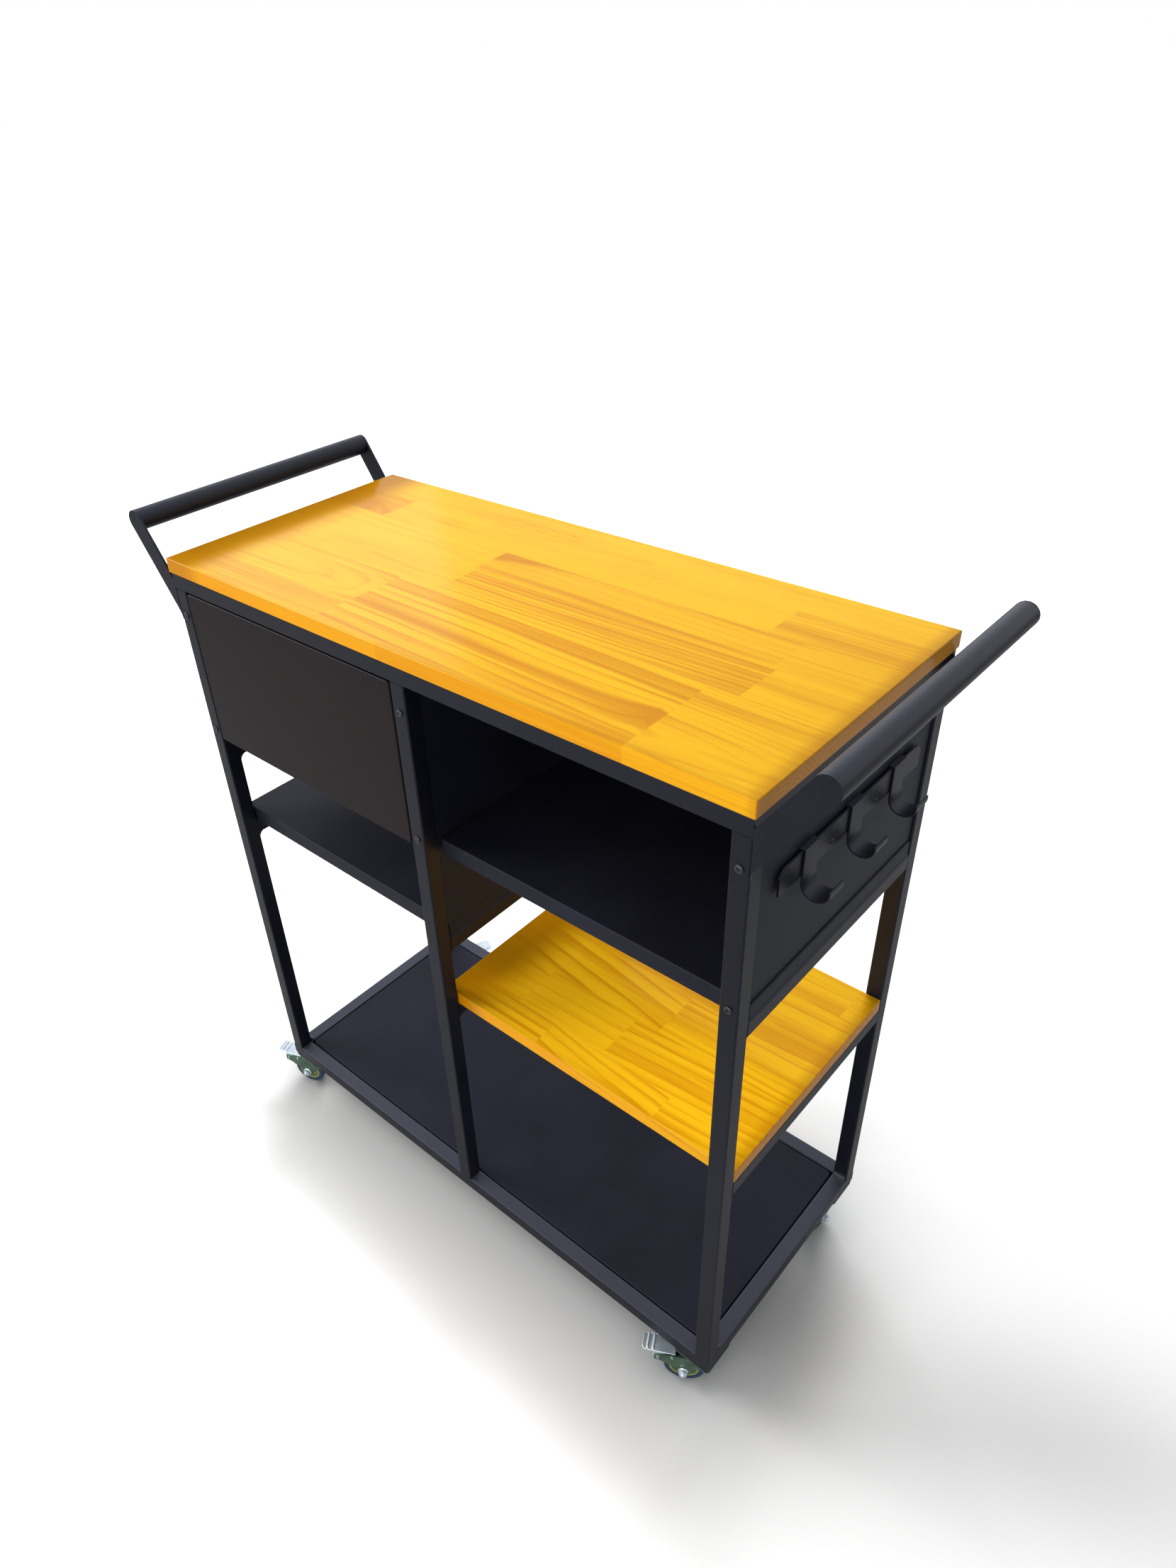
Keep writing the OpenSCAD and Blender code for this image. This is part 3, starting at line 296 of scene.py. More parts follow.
def stained_pine(name):
    """Pine staves under a yellow stain and a glossy varnish.

    Growth rings lie about a pith line beside each stave: r is the distance from that line, plus a
    slope along the grain, slow noise and the bulge round a knot, which falls off as
    exp(-|x - knot| / 35 mm - ((y - knot) / 24 mm)^2). The late wood is the dark end of each ring,
    and broad brown zones follow r as well. Fine fibres, streaks and patches lie over both. The
    board is darker near its right end and along its front, and over the last 90 mm at its left
    end, where the darkening is a painted shade beside the handle bar. Faces turned to the front
    carry a painted shade as well, deepest at the left. The mesh gives each stave its numbers, and
    turn leans the grain.
    """
    f = Finish(name)
    across, depth, slope = f.attribute("pith")
    width, lines, seed = f.attribute("rings")
    start, stop, front = f.attribute("ends")
    tone, heart, turn = f.attribute("stain")
    knot_x, knot_y, knot = f.attribute("knot")

    bend = f.noise(f.point(f.x * 2.0 + seed, f.y * 5.0, f.z * 5.0), 1.0) - 0.5
    ripple = f.noise(f.point(f.x * 8.0 + seed * 1.7, f.y * 34.0, f.z * 34.0), 1.0) - 0.5
    dy = f.y * (1.0 - turn) + f.x * turn - across + bend * 0.022
    dz = f.z - depth + bend * 0.010
    off_y = (f.y - knot_y) / KNOT_ACROSS
    bulge = (abs(f.x - knot_x) / -KNOT_ALONG - off_y * off_y).calc("EXPONENT") * knot
    r = (dy * dy + dz * dz) ** 0.5 + f.x * slope + ripple * 0.0022 + bulge * 0.030

    year = f.noise(f.point(r / width * 0.8 + seed, seed, 0.0), 1.0, 1)
    late = f.ramp((r / width + year * 0.7).calc("FRACT"), YEAR_STOPS)
    zone = f.noise(f.point(r * 44 + seed * 3.0, f.x * 1.3, seed), 1.0).band(0.43, 0.64)
    fibre = f.noise(f.point(f.x * 9, f.y * 520, f.z * 520), 1.0, 3, 0.6)
    streak = f.noise(f.point(f.x * 5 + seed * 2.3, f.y * 130, f.z * 130), 1.0, 3, 0.6)
    patch = f.noise(f.point(f.x * 5 + seed, f.y * 26, f.z * 26), 1.0)
    line = (late * lines * (year * 1.2 + 0.4) + (fibre - 0.5) * 0.55 + (streak - 0.5) * 0.9
            + (patch - 0.5) * 0.8 + 0.10)
    brown = (zone * heart + tone + abs(bulge) * 0.55 + (fibre - 0.5) * 0.4
             + (streak - 0.5) * 0.4)

    face_x, face_y, _ = f.facing()
    end = abs(face_x).band(0.6, 0.8)
    to_right = (f.x - start) / (stop - start)
    # Painted shade: faces turned to the front are darkened, deepest at the left end of a board
    edge = (face_y * -1).band(0.5, 0.9) * (to_right * -0.6 + 0.8)
    # Darker near the right end and along the front, and over the last 90 mm at the left end, where it is a painted
    # shade beside the handle bar
    dark_ends_and_shade = (f.x - start).band(0.090, 0.025) * 0.90
    dark_ends_and_shade = dark_ends_and_shade.calc("MAXIMUM", (stop - f.x).band(0.020, 0.0) * 0.6)
    dark_ends_and_shade = dark_ends_and_shade.calc("MAXIMUM", (f.y - front).band(0.012, 0.0) * 0.25)

    colour = f.blend(line.band(0.0, 1.0), PALE_PINE, LATE_PINE)
    colour = f.blend(brown.band(0.0, 1.0), colour, BROWN_PINE)
    colour = f.blend(edge, colour, FRONT_SHADE_PINE)
    colour = f.blend(dark_ends_and_shade, colour, DARK_ENDS_AND_SHADE)
    colour = f.blend(end * (late * 0.25 + 0.65), colour, END_GRAIN)
    f.bump(fibre * 0.6 + late * 0.4, 0.00002)
    return f.surface(Base_Color=colour, Roughness=fibre * 0.08 + 0.34, Metallic=0.0,
                     Specular_IOR_Level=0.0, Coat_Weight=0.42, Coat_Roughness=0.15,
                     Coat_IOR=1.45)


def zinc_plate(name, colour, other, roughness):
    """Zinc plate under a passivation: fine grain, and clouds that go from one cast to another."""
    f = Finish(name)
    cloud = f.noise(f.where, 60, 3)
    f.bump(f.noise(f.where, 900), 0.00003)
    return f.surface(Base_Color=f.blend(cloud.band(0.35, 0.65), colour, other),
                     Roughness=cloud * 0.14 + roughness, Metallic=0.70)


def moulded(name, colour, worn, roughness):
    """Moulded plastic or rubber: fine grain in the bump and scuffs in the colour."""
    f = Finish(name)
    grain = f.noise(f.where, 500, 3)
    scuff = f.noise(f.where, 120, 4).band(0.55, 0.75)
    f.bump(grain, 0.00006)
    return f.surface(Base_Color=f.blend(scuff * 0.5, colour, worn),
                     Roughness=grain * 0.1 + roughness + scuff * 0.1, Metallic=0.0)


FINISHES = {
    # The last number of the frame coat is the strength of its painted sheen on upward faces
    "frame_paint": powder_coat(
        "frame_coat", (0.0022, 0.0026, 0.0060), (0.0045, 0.0050, 0.0105), 0.42, 0.30, 0.11),
    "panel_paint": powder_coat(
        "panel_coat", (0.0045, 0.0052, 0.0110), (0.0072, 0.0078, 0.0160), 0.54, 0.26),
    "drawer_paint": powder_coat(
        "drawer_coat", (0.0060, 0.0028, 0.0028), (0.0085, 0.0042, 0.0040), 0.46, 0.18),
    "wood": stained_pine("stained_pine"),
    "zinc": zinc_plate("zinc", (0.60, 0.70, 0.80), (0.74, 0.82, 0.88), 0.26),
    "fork_zinc": zinc_plate("fork_zinc", (0.060, 0.115, 0.075), (0.110, 0.180, 0.120), 0.22),
    "wheel_plastic": moulded("wheel_plastic", (0.20, 0.235, 0.085), (0.28, 0.31, 0.15), 0.38),
    "tyre_rubber": moulded("tyre_rubber", (0.006, 0.026, 0.070), (0.015, 0.045, 0.085), 0.45),
    "black_screw": powder_coat(
        "blacked_steel", (0.020, 0.020, 0.024), (0.030, 0.030, 0.034), 0.28, 0.50)}


def coat_solids():
    """Gives every node the finish of its slot."""
    for part in frame["record"]["subparts"]:
        materials = NODES[part["node"]].data.materials
        materials.clear()
        materials.append(FINISHES[part["material_slot"]])


# Mesh tools

MERGE = 0.000002


def join_grids(name, grids):
    """One mesh from grids of points (rows, columns, 3): each quad joins four neighbours, and
    points that fall together are merged, so that seams and poles close."""
    places, quads, first = [], [], 0
    for grid in grids:
        rows, columns = grid.shape[:2]
        at = first + np.arange(rows * columns).reshape(rows, columns)
        quad = np.stack([at[:-1, :-1], at[1:, :-1], at[1:, 1:], at[:-1, 1:]], -1)
        quads.append(quad.reshape(-1, 4))
        places.append(grid.reshape(-1, 3))
        first += rows * columns
    mesh = bpy.data.meshes.new(name)
    mesh.from_pydata(np.concatenate(places).tolist(), [], np.concatenate(quads).tolist())
    shape = bmesh.new()
    shape.from_mesh(mesh)
    bmesh.ops.remove_doubles(shape, verts=shape.verts, dist=MERGE)
    bmesh.ops.recalc_face_normals(shape, faces=shape.faces)
    shape.to_mesh(mesh)
    shape.free()
    mesh.shade_smooth()
    return mesh


def add_piece(mesh, body, slot, *replaced):
    """Puts a mesh into the scene as a piece that rides on a body and stands for CAD nodes."""
    piece = bpy.data.objects.new(mesh.name, mesh)
    SCENE.collection.objects.link(piece)
    mesh.materials.append(FINISHES[slot])
    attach(piece, body)
    if replaced:
        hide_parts(*replaced)
    return piece


def even_normals(piece):
    """Keeps flat faces flat beside round edges."""
    even = piece.modifiers.new("even", "WEIGHTED_NORMAL")
    even.keep_sharp = False


WELD_REACH = 0.00001
FLAT_ANGLE = math.radians(0.5)
SHARP_ANGLE = math.radians(35)


def soften(node, width):
    """Rounds the sharp edges of a node: its loose triangles are joined, flattened and bevelled."""
    piece = NODES[node]
    weld = piece.modifiers.new("weld", "WELD")
    weld.merge_threshold = WELD_REACH
    flat = piece.modifiers.new("flatten", "DECIMATE")
    flat.decimate_type, flat.angle_limit = "DISSOLVE", FLAT_ANGLE
    edge = piece.modifiers.new("edge", "BEVEL")
    edge.width, edge.segments = width, 2
    edge.limit_method, edge.angle_limit = "ANGLE", SHARP_ANGLE
    edge.harden_normals = False
    even_normals(piece)


def node_points(node):
    """The triangles of a node as an array (triangles, 3, 3)."""
    mesh = NODES[node].data
    mesh.calc_loop_triangles()
    points = np.empty(len(mesh.vertices) * 3)
    mesh.vertices.foreach_get("co", points)
    corners = np.empty(len(mesh.loop_triangles) * 3, np.int32)
    mesh.loop_triangles.foreach_get("vertices", corners)
    return points.reshape(-1, 3)[corners].reshape(-1, 3, 3)


def solids_of(node):
    """Lowest and highest corner of each separate solid in a node, in the order of their places.

    Every merged corner starts with a label of its own, and each triangle gives its corners the
    lowest of their three labels, until nothing changes.
    """
    points = node_points(node)
    merged, same = np.unique(points.reshape(-1, 3).round(6), axis=0, return_inverse=True)
    corners = same.reshape(-1, 3)
    label = np.arange(len(merged))
    while True:
        lower = label.copy()
        np.minimum.at(lower, corners.ravel(), np.repeat(label[corners].min(1), 3))
        if (lower == label).all():
            break
        label = lower
    found = [merged[label == one] for one in np.unique(label)]
    found = sorted((tuple(solid.min(0)), tuple(solid.max(0))) for solid in found)
    return [(np.array(low), np.array(high)) for low, high in found]


def rounded_block(low, high, radius, cuts=((), (), ())):
    """Six grids of a box with round edges. Each point of the plain box is drawn in to the core box
    and put out again by the radius, along the line from the core to the point. The lines of the
    grids fall on the cuts, and near the edges on even angles of the round."""
    low, high = np.array(low, float), np.array(high, float)
    near = radius * (1 - np.tan(np.linspace(math.pi / 4, 0, 4)))
    lines = [np.concatenate([low[a] + near, np.array(cuts[a], float), (high[a] - near)[::-1]])
             for a in range(3)]
    grids = []
    for a in range(3):
        b, c = (a + 1) % 3, (a + 2) % 3
        for level in (low[a], high[a]):
            grid = np.empty((len(lines[b]), len(lines[c]), 3))
            grid[..., a] = level
            grid[..., b] = lines[b][:, None]
            grid[..., c] = lines[c][None, :]
            core = np.clip(grid, low + radius, high - radius)
            out = grid - core
            grids.append(core + radius * out / np.linalg.norm(out, axis=-1, keepdims=True))
    return grids


def turned(profile, sides=32):
    """Grid of a turned part about +Z from its (radius, height) profile."""
    turn = np.linspace(0, 2 * math.pi, sides + 1)[None, :]
    radius, height = np.array(profile, float).T[:, :, None]
    return np.stack([radius * np.cos(turn), radius * np.sin(turn), height + 0 * turn], -1)


def box_of(node):
    """Lowest and highest corner of a node as arrays."""
    return [np.array(corner, float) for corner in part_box(node)]


def set_in(grid, origin, right, up, out):
    """Places a grid drawn in its own (right, up, out) at an origin."""
    return np.array(origin, float) + grid @ np.array([right, up, out], float)


# Boards

MM_IN_METRE = 1000


class Stave:
    """One stave of a board seen from above, in millimetres: its edges and what its grain does.

    pith is the place of the pith line across the cart and its depth below the face, slope is how
    fast the rings run out along the grain, rings is their width, lines and heart are the strength
    of the late wood and of the brown zones, tone is a brown cast over all of it, turn leans the
    grain and knot is (x, y, strength).
    """

    def __init__(self, left, right, front, back, seed, pith, slope, rings, lines, heart, tone,
                 turn=0.0, knot=(0, 0, 0)):
        self.edges = (left, right, front, back)
        self.pith = (pith[0] / MM_IN_METRE, pith[1] / MM_IN_METRE, slope)
        self.rings = (rings / MM_IN_METRE, lines, seed)
        self.stain = (tone, heart, turn)
        self.knot = (knot[0] / MM_IN_METRE, knot[1] / MM_IN_METRE, knot[2])


TOP_ROWS = (178, 123, 65, 6, -52.5, -111, -169.5, -178)
TOP_STAVES = [
    Stave(-401, -158, 65, 178, 3.1, (150, 70), 0.010, 4.5, 0.20, 0.22, 0.02),
    Stave(-158, 402, 65, 178, 3.1, (140, 55), 0.012, 4.5, 0.25, 0.22, 0.0,
          knot=(-92, 128, -0.45)),
    Stave(-401, -291, 65, 123, 7.7, (60, 30), 0.060, 3.5, 0.60, 0.60, 0.45,
          turn=0.10, knot=(-330, 80, 0.8)),
    Stave(257, 402, 65, 123, 5.2, (150, 30), 0.020, 6.0, 0.50, 0.50, 0.04),
    Stave(-401, -82, 6, 65, 11.4, (20, 90), 0.006, 5.0, 0.20, 0.25, 0.03),
    Stave(-82, 298, 6, 65, 2.6, (-30, 60), 0.020, 9.0, 0.40, 0.55, 0.20,
          knot=(-84, 68, 1.6)),
    Stave(298, 402, 6, 65, 8.9, (70, 90), 0.010, 6.0, 0.25, 0.25, 0.0),
    Stave(-401, -77, -52.5, 6, 6.3, (0, 120), 0.004, 5.0, 0.15, 0.15, 0.0),
    Stave(-77, 303, -52.5, 6, 9.8, (70, 25), 0.010, 6.6, 1.00, 0.45, 0.06),
    Stave(303, 402, -52.5, 6, 4.4, (-70, 80), 0.012, 5.0, 0.30, 0.40, 0.0),
    Stave(-401, -130.5, -169.5, -52.5, 1.9, (-95, 45), 0.022, 5.5, 0.35, 0.45, 0.02,
          knot=(-128, -95, 0.35)),
    Stave(-130.5, 272, -169.5, -52.5, 12.7, (-250, 70), 0.030, 14, 0.75, 0.60, 0.0,
          knot=(262, -122, -0.5)),
    Stave(272, 402, -169.5, -52.5, 5.9, (-150, 50), 0.030, 5.0, 0.40, 0.45, 0.02),
    Stave(-401, -32, -178, -169.5, 8.1, (-175, 90), 0.010, 5.0, 0.25, 0.15, 0.0),
    Stave(-32, 272, -178, -169.5, 3.7, (-175, 90), 0.010, 5.0, 0.40, 0.40, 0.20),
    Stave(272, 402, -178, -169.5, 9.2, (-175, 90), 0.010, 5.0, 0.30, 0.25, 0.0)]
SHELF_ROWS = (155, 85, 17.5, -50, -117, -155)
SHELF_STAVES = [
    Stave(-21, 374, 85, 155, 4.2, (150, 25), 0.020, 11.0, 0.50, 0.45, 0.05),
    Stave(374, 399, 85, 155, 6.6, (60, 60), 0.010, 9.0, 0.40, 0.50, 0.18),
    Stave(-21, 399, 17.5, 85, 9.1, (95, 30), 0.025, 12.0, 0.50, 0.55, 0.08),
    Stave(-21, 225, -50, 17.5, 2.3, (-80, 50), 0.120, 16.0, 0.80, 0.50, 0.02),
    Stave(225, 399, -50, 17.5, 7.4, (70, 40), 0.050, 10.0, 0.60, 0.45, 0.02),
    Stave(-21, 67, -117, -50, 5.5, (-80, 60), 0.040, 9.5, 0.50, 0.40, 0.04),
    Stave(67, 195, -117, -50, 11.2, (-30, 90), 0.010, 9.0, 0.35, 0.25, 0.0),
    Stave(195, 399, -117, -50, 8.3, (-20, 35), 0.070, 11.5, 0.70, 0.45, 0.02),
    Stave(-21, 125, -155, -117, 3.9, (-60, 25), 0.012, 12.0, 0.80, 0.40, 0.0),
    Stave(125, 292, -155, -117, 6.9, (-170, 40), 0.080, 10.0, 0.60, 0.45, 0.0),
    Stave(292, 399, -155, -117, 1.4, (-100, 50), 0.040, 9.0, 0.50, 0.40, 0.0)]
ARRIS = 0.0016
JOINT_CLEAR = 0.002


def glued_board(node, rows, staves):
    """A board with round arrises whose faces know the stave that they lie on: the last stave of
    the list that holds the middle of a face gives it its numbers."""
    low, high = box_of(node)
    joints = sorted({edge / MM_IN_METRE for stave in staves for edge in stave.edges[:2]})
    cuts = [[x for x in joints if low[X] + JOINT_CLEAR < x < high[X] - JOINT_CLEAR],
            [y / MM_IN_METRE for y in reversed(rows[1:-1])], []]
    mesh = join_grids(node.replace("wood", "board"), rounded_block(low, high, ARRIS, cuts))
    faces = len(mesh.polygons)
    middle = np.empty(faces * 3)
    mesh.polygons.foreach_get("center", middle)
    x, y, _ = middle.reshape(-1, 3).T * MM_IN_METRE
    values = {key: np.zeros((faces, 3)) for key in ("pith", "rings", "stain", "knot")}
    for stave in staves:
        left, right, front, back = stave.edges
        here = (x >= left) & (x <= right) & (y >= front) & (y <= back)
        for key, value in values.items():
            value[here] = getattr(stave, key)
    values["pith"][:, 1] = high[Z] - values["pith"][:, 1]
    values["ends"] = np.tile((low[X], high[X], low[Y]), (faces, 1))
    for key, value in values.items():
        layer = mesh.attributes.new(key, "FLOAT_VECTOR", "FACE")
        layer.data.foreach_set("vector", value.ravel())
    even_normals(add_piece(mesh, "cart", "wood", node))


# Sheet parts

SHEET = 0.001
FOLD = 0.0016
TRAY_CORNER = 0.006
DRAWER_CORNER = 0.004
DRAWER_LIP = 0.025


def pressed_sheet(half_w, half_d, corner, section):
    """Grid of a sheet pressed or folded all round. Its outline is a rectangle with round corners;
    a row (inset, down) of the section carries that outline inwards and down. Inside the corner
    radius the outline keeps its round, and further in it is the plain smaller rectangle."""
    turn = np.linspace(0, math.pi / 2, 7)
    core, side = [], []
    for k, (sx, sy) in enumerate(((1, 1), (-1, 1), (-1, -1), (1, -1))):
        angle = turn + k * math.pi / 2
        core.append(np.tile((sx * (half_w - corner), sy * (half_d - corner)), (len(turn), 1)))
        side.append(np.stack([np.cos(angle), np.sin(angle)], -1))
    core, side = np.concatenate(core), np.concatenate(side)
    core, side = np.append(core, core[:1], 0), np.append(side, side[:1], 0)
    rows = []
    for inset, down in section:
        flat = core + (corner - min(inset, corner)) * side
        room = np.array([max(half_w - inset, 0), max(half_d - inset, 0)])
        flat = np.clip(flat, -room, room)
        rows.append(np.column_stack([flat, np.full(len(flat), -down)]))
    return np.stack(rows)


def fold_down():
    """Rows (inset, down) of the bend from the face into the side, a quarter circle."""
    turn = np.linspace(0, math.pi / 2, 5)
    return [(FOLD - FOLD * math.sin(t), FOLD * (1 - math.cos(t))) for t in turn]


def fold_in(down):
    """Rows (inset, down) of the bend from the side to the inside, a quarter circle from down."""
    turn = np.linspace(0, math.pi / 2, 5)
    return [(FOLD * (1 - math.cos(t)), down + FOLD * math.sin(t)) for t in turn]


def add_sheet(name, grid, place, body, slot, node):
    """A piece from the outer face of a sheet, placed by (origin, right, up, out), with the
    thickness of the sheet on its inside."""
    piece = add_piece(join_grids(name, [set_in(grid, *place)]), body, slot, node)
    wall = piece.modifiers.new("sheet", "SOLIDIFY")
    wall.thickness, wall.offset = SHEET, -1
    even_normals(piece)


def folded_shelf(node, corner=FOLD):
    """A shelf or tray: the upper face, a bend all round and a lip turned down."""
    low, high = box_of(node)
    middle, half = (low + high) / 2, (high - low) / 2
    section = [(half[Y], 0)] + fold_down() + [(0, high[Z] - low[Z])]
    place = ((middle[X], middle[Y], high[Z]), (1, 0, 0), (0, 1, 0), (0, 0, 1))
    grid = pressed_sheet(half[X], half[Y], corner, section)
    add_sheet(node + "_sheet", grid, place, "cart", "panel_paint", node)


def drawer_face(node):
    """The drawer front: face, bend, side turned back, bend and the lip turned in behind."""
    low, high = box_of(node)
    middle, half = (low + high) / 2, (high - low) / 2
    deep = high[Y] - low[Y]
    section = [(half[Z], 0)] + fold_down() + fold_in(deep - FOLD) + [(DRAWER_LIP, deep)]
    place = ((middle[X], low[Y], middle[Z]), (1, 0, 0), (0, 0, 1), (0, -1, 0))
    grid = pressed_sheet(half[X], half[Z], DRAWER_CORNER, section)
    add_sheet("drawer_face", grid, place, "drawer", "drawer_paint", node)


# Screws

SHANK_R = 0.0024
HEAD_R = 0.0044
HEAD_H = 0.0022
CASTOR_HEAD_H = 0.0018
CASTOR_HEAD_ROOM = 0.0025
SCREW_CLOCK = 0.6

# Cross in a head: half width, reach and the slopes of its walls and ends in shares of the radius,
# and depth in shares of the height
CROSS_HALF, CROSS_REACH = 0.20, 0.58
CROSS_WALL, CROSS_END = 0.08, 0.12
CROSS_DEPTH = 0.75


def screw_grid(head_h, length):
    """Grid of a pan-head screw that points along +Z, its seat at z = 0. The head is
    z = -h (1 - (p / R)^2.5)^0.4 with a cross sunk into it, and below it the profile runs down the
    shank to a blunt point."""
    across = np.concatenate([np.linspace(0, 0.62, 13), np.linspace(0.70, 1, 6)]) * HEAD_R
    dome = -head_h * (1 - (across / HEAD_R) ** 2.5) ** 0.4
    radius = np.concatenate([across, [SHANK_R, SHANK_R, 0]])
    level = np.concatenate([dome, [0, length - SHANK_R, length]])
    x, y, z = np.moveaxis(turned(np.column_stack([radius, level]), 48), -1, 0)
    arm = np.minimum(np.abs(x), np.abs(y)) / HEAD_R
    reach = np.hypot(x, y) / HEAD_R
    cross = (np.clip((CROSS_HALF - arm) / CROSS_WALL, 0, 1)
             * np.clip((CROSS_REACH - reach) / CROSS_END, 0, 1))
    z = z + np.where(level[:, None] < 0, cross * head_h * CROSS_DEPTH, 0)
    return np.stack([x, y, z], -1)


def screw_set(node, body, axis, way=None, room=HEAD_H, head_h=HEAD_H):
    """All screws of a node in one mesh. They point along an axis of the cart, up it where way is
    1, down it where it is -1 and towards the middle of the cart where it is None. The solid of a
    head takes up the room, and each screw stands a little further round than the last."""
    grids = []
    for k, (low, high) in enumerate(solids_of(node)):
        seat = (low + high) / 2
        sign = way or -math.copysign(1, seat[axis])
        seat[axis] = low[axis] + room if sign > 0 else high[axis] - room
        length = high[axis] - low[axis] - room
        point = Vector((0, 0, 0))
        point[axis] = sign
        turn = point.to_track_quat("Z", "Y").to_matrix()
        turn = turn @ Euler((0, 0, k * SCREW_CLOCK)).to_matrix()
        grids.append(screw_grid(head_h, length) @ np.array(turn).T + seat)
    add_piece(join_grids(node + "_formed", grids), body, "black_screw", node)


# Castors

class CastorAxes:
    """The foot of a castor's swivel axis, and its directions along the pedal, across it and up."""

    def __init__(self, corner):
        joints = {joint["name"]: joint for joint in frame["joints"]}
        self.origin = np.array(joints["swivel_" + corner]["pos_m"], float) * (1, 1, 0)
        self.across = np.array(joints["brake_" + corner]["axis"], float)
        self.along = np.array([self.across[1], -self.across[0], 0])
        self.up = np.array([0, 0, 1.0])

    def box(self, node):
        """Lowest and highest (along, across, up) of a node."""
        turn = np.array([self.along, self.across, self.up]).T
        local = (node_points(node).reshape(-1, 3) - self.origin) @ turn
        return local.min(0), local.max(0)

    def at(self, along, across, up):
        """A point of the scene."""
        return self.origin + along * self.along + across * self.across + up * self.up


def closed_sheet(outer, inner, ring=False):
    """Grids of a closed sheet between two grids: both faces and the strips along their edges. A
    ring meets itself along its columns, so it has no strips there."""
    edges = [(outer[0], inner[0]), (outer[-1], inner[-1])]
    if not ring:
        edges += [(outer[:, 0], inner[:, 0]), (outer[:, -1], inner[:, -1])]
    return [outer, inner] + [np.stack(edge) for edge in edges]


def bead(path, outward, radius):
    """Grid of a round bead along a path, closed at its start and open at its end: each point of
    the path carries a ring of cos(a) outward + sin(a) up."""
    turn = np.linspace(0, 2 * math.pi, 11)[None, :, None]
    rings = np.cos(turn) * outward[:, None] + np.sin(turn) * np.array([0, 0, 1.0])
    rings = path[:, None] + radius * rings
    return np.concatenate([np.repeat(path[:1, None], turn.size, 1), rings])


# Plate and rim of the brake pedal
PEDAL_SHEET = 0.0015
PEDAL_CORNER = 0.005
BEAD_R = 0.001
BEAD_DROP = 0.6 * BEAD_R

# Ribs across the plate: height, half width, pitch, first one from the tip, room at their ends
RIB_H = 0.0013
RIB_HALF = 0.0019
RIB_PITCH = 0.007
RIB_INSET = 0.007
RIB_SIDE = 0.002
RIB_FADE = 0.0012

# Ears round the pivot, which stands behind the tip: sheet, reach to each side and down, hole
PEDAL_ARM = 0.021
EAR_SHEET = 0.0012
EAR_BACK = 0.009
EAR_FRONT = 0.007
EAR_DOWN = 0.004
EAR_HOLE = 0.0021

# Brake shoe below and behind the pivot
SHOE_DROP = 0.011
SHOE_BACK = 0.0055
SHOE_HALF = 0.008
SHOE_EDGE = 0.0004

# Rivets in the cheeks of the fork, at the pivot and at the stop behind it
CHEEK_FACE = 0.014
STOP_BACK = 0.0175
STOP_DROP = 0.002
RIVET_R = 0.0029
RIVET_H = 0.0012


def pedal_plate(start, tip, half, top):
    """Upper face of the pedal. Its half width is half - c + sqrt((c - b)^2 - (s - tip + c)^2) in
    the last c of its length, for a bead b, and the ribs are humps h cos(pi (s - s_k) / 2w)^2 that
    fade towards the sides."""
    turn = np.linspace(0, math.pi / 2, 9)[1:]
    bend = PEDAL_CORNER - BEAD_R
    s = np.concatenate([np.linspace(start, tip - PEDAL_CORNER, 61),
                        tip - PEDAL_CORNER + bend * np.sin(turn)])
    past = np.clip(s - tip + PEDAL_CORNER, 0, None)
    width = half - PEDAL_CORNER + np.sqrt(bend ** 2 - past ** 2)
    y = np.linspace(-1, 1, 33)[None, :] * width[:, None]
    rise = np.zeros_like(s)
    for k in range(2):
        off = np.clip(np.abs(s - (tip - RIB_INSET - k * RIB_PITCH)) / RIB_HALF, 0, 1)
        rise += RIB_H * np.cos(off * math.pi / 2) ** 2
    fade = np.clip((half - RIB_SIDE - np.abs(y)) / RIB_FADE + 0.5, 0, 1)
    return np.stack([np.repeat(s[:, None], y.shape[1], 1), y, top + rise[:, None] * fade], -1)


def pedal_rim(start, tip, half, level):
    """Bead round the free edge of the pedal, from one end of it over the tip to the other."""
    turn = np.linspace(math.pi / 2, 0, 9)
    side = np.stack([np.cos(turn), np.sin(turn)], -1)
    bend = np.array([tip - PEDAL_CORNER, half - PEDAL_CORNER]) + (PEDAL_CORNER - BEAD_R) * side
    path = np.concatenate([[[start, half - BEAD_R]], bend])
    outward = np.concatenate([[[0, 1]], side])
    path = np.concatenate([path, path[::-1] * (1, -1)])
    outward = np.concatenate([outward, outward[::-1] * (1, -1)])
    return bead(np.column_stack([path, np.full(len(path), level)]),
                np.column_stack([outward, np.zeros(len(path))]), BEAD_R)


def pedal_ear(pivot, level, outer, inner, high):
    """One ear round the pivot, between two places across. Its outline is
    ((|cos| / a)^6 + (|sin| / b)^6)^(-1/6) from the pivot, with its own reach a and b to each side.
    """
    turn = np.linspace(0, 2 * math.pi, 49)
    cos, sin = np.cos(turn), np.sin(turn)
    along = np.where(cos > 0, EAR_FRONT, EAR_BACK)
    height = np.where(sin > 0, high, EAR_DOWN)
    reach = ((np.abs(cos) / along) ** 6 + (np.abs(sin) / height) ** 6) ** (-1 / 6)
    rows = np.stack([np.full_like(reach, EAR_HOLE), reach])
    flat = np.stack([pivot + rows * cos, np.zeros_like(rows), level + rows * sin], -1)
    return closed_sheet(flat + (0, outer, 0), flat + (0, inner, 0), ring=True)


def rivet_head(radius, height):
    """Grid of a low round head: height sqrt(1 - (p / radius)^2) over its seat."""
    share = np.sin(np.linspace(0, math.pi / 2, 7))
    return turned(np.column_stack([radius * share, height * np.sqrt(1 - share ** 2)]), 24)


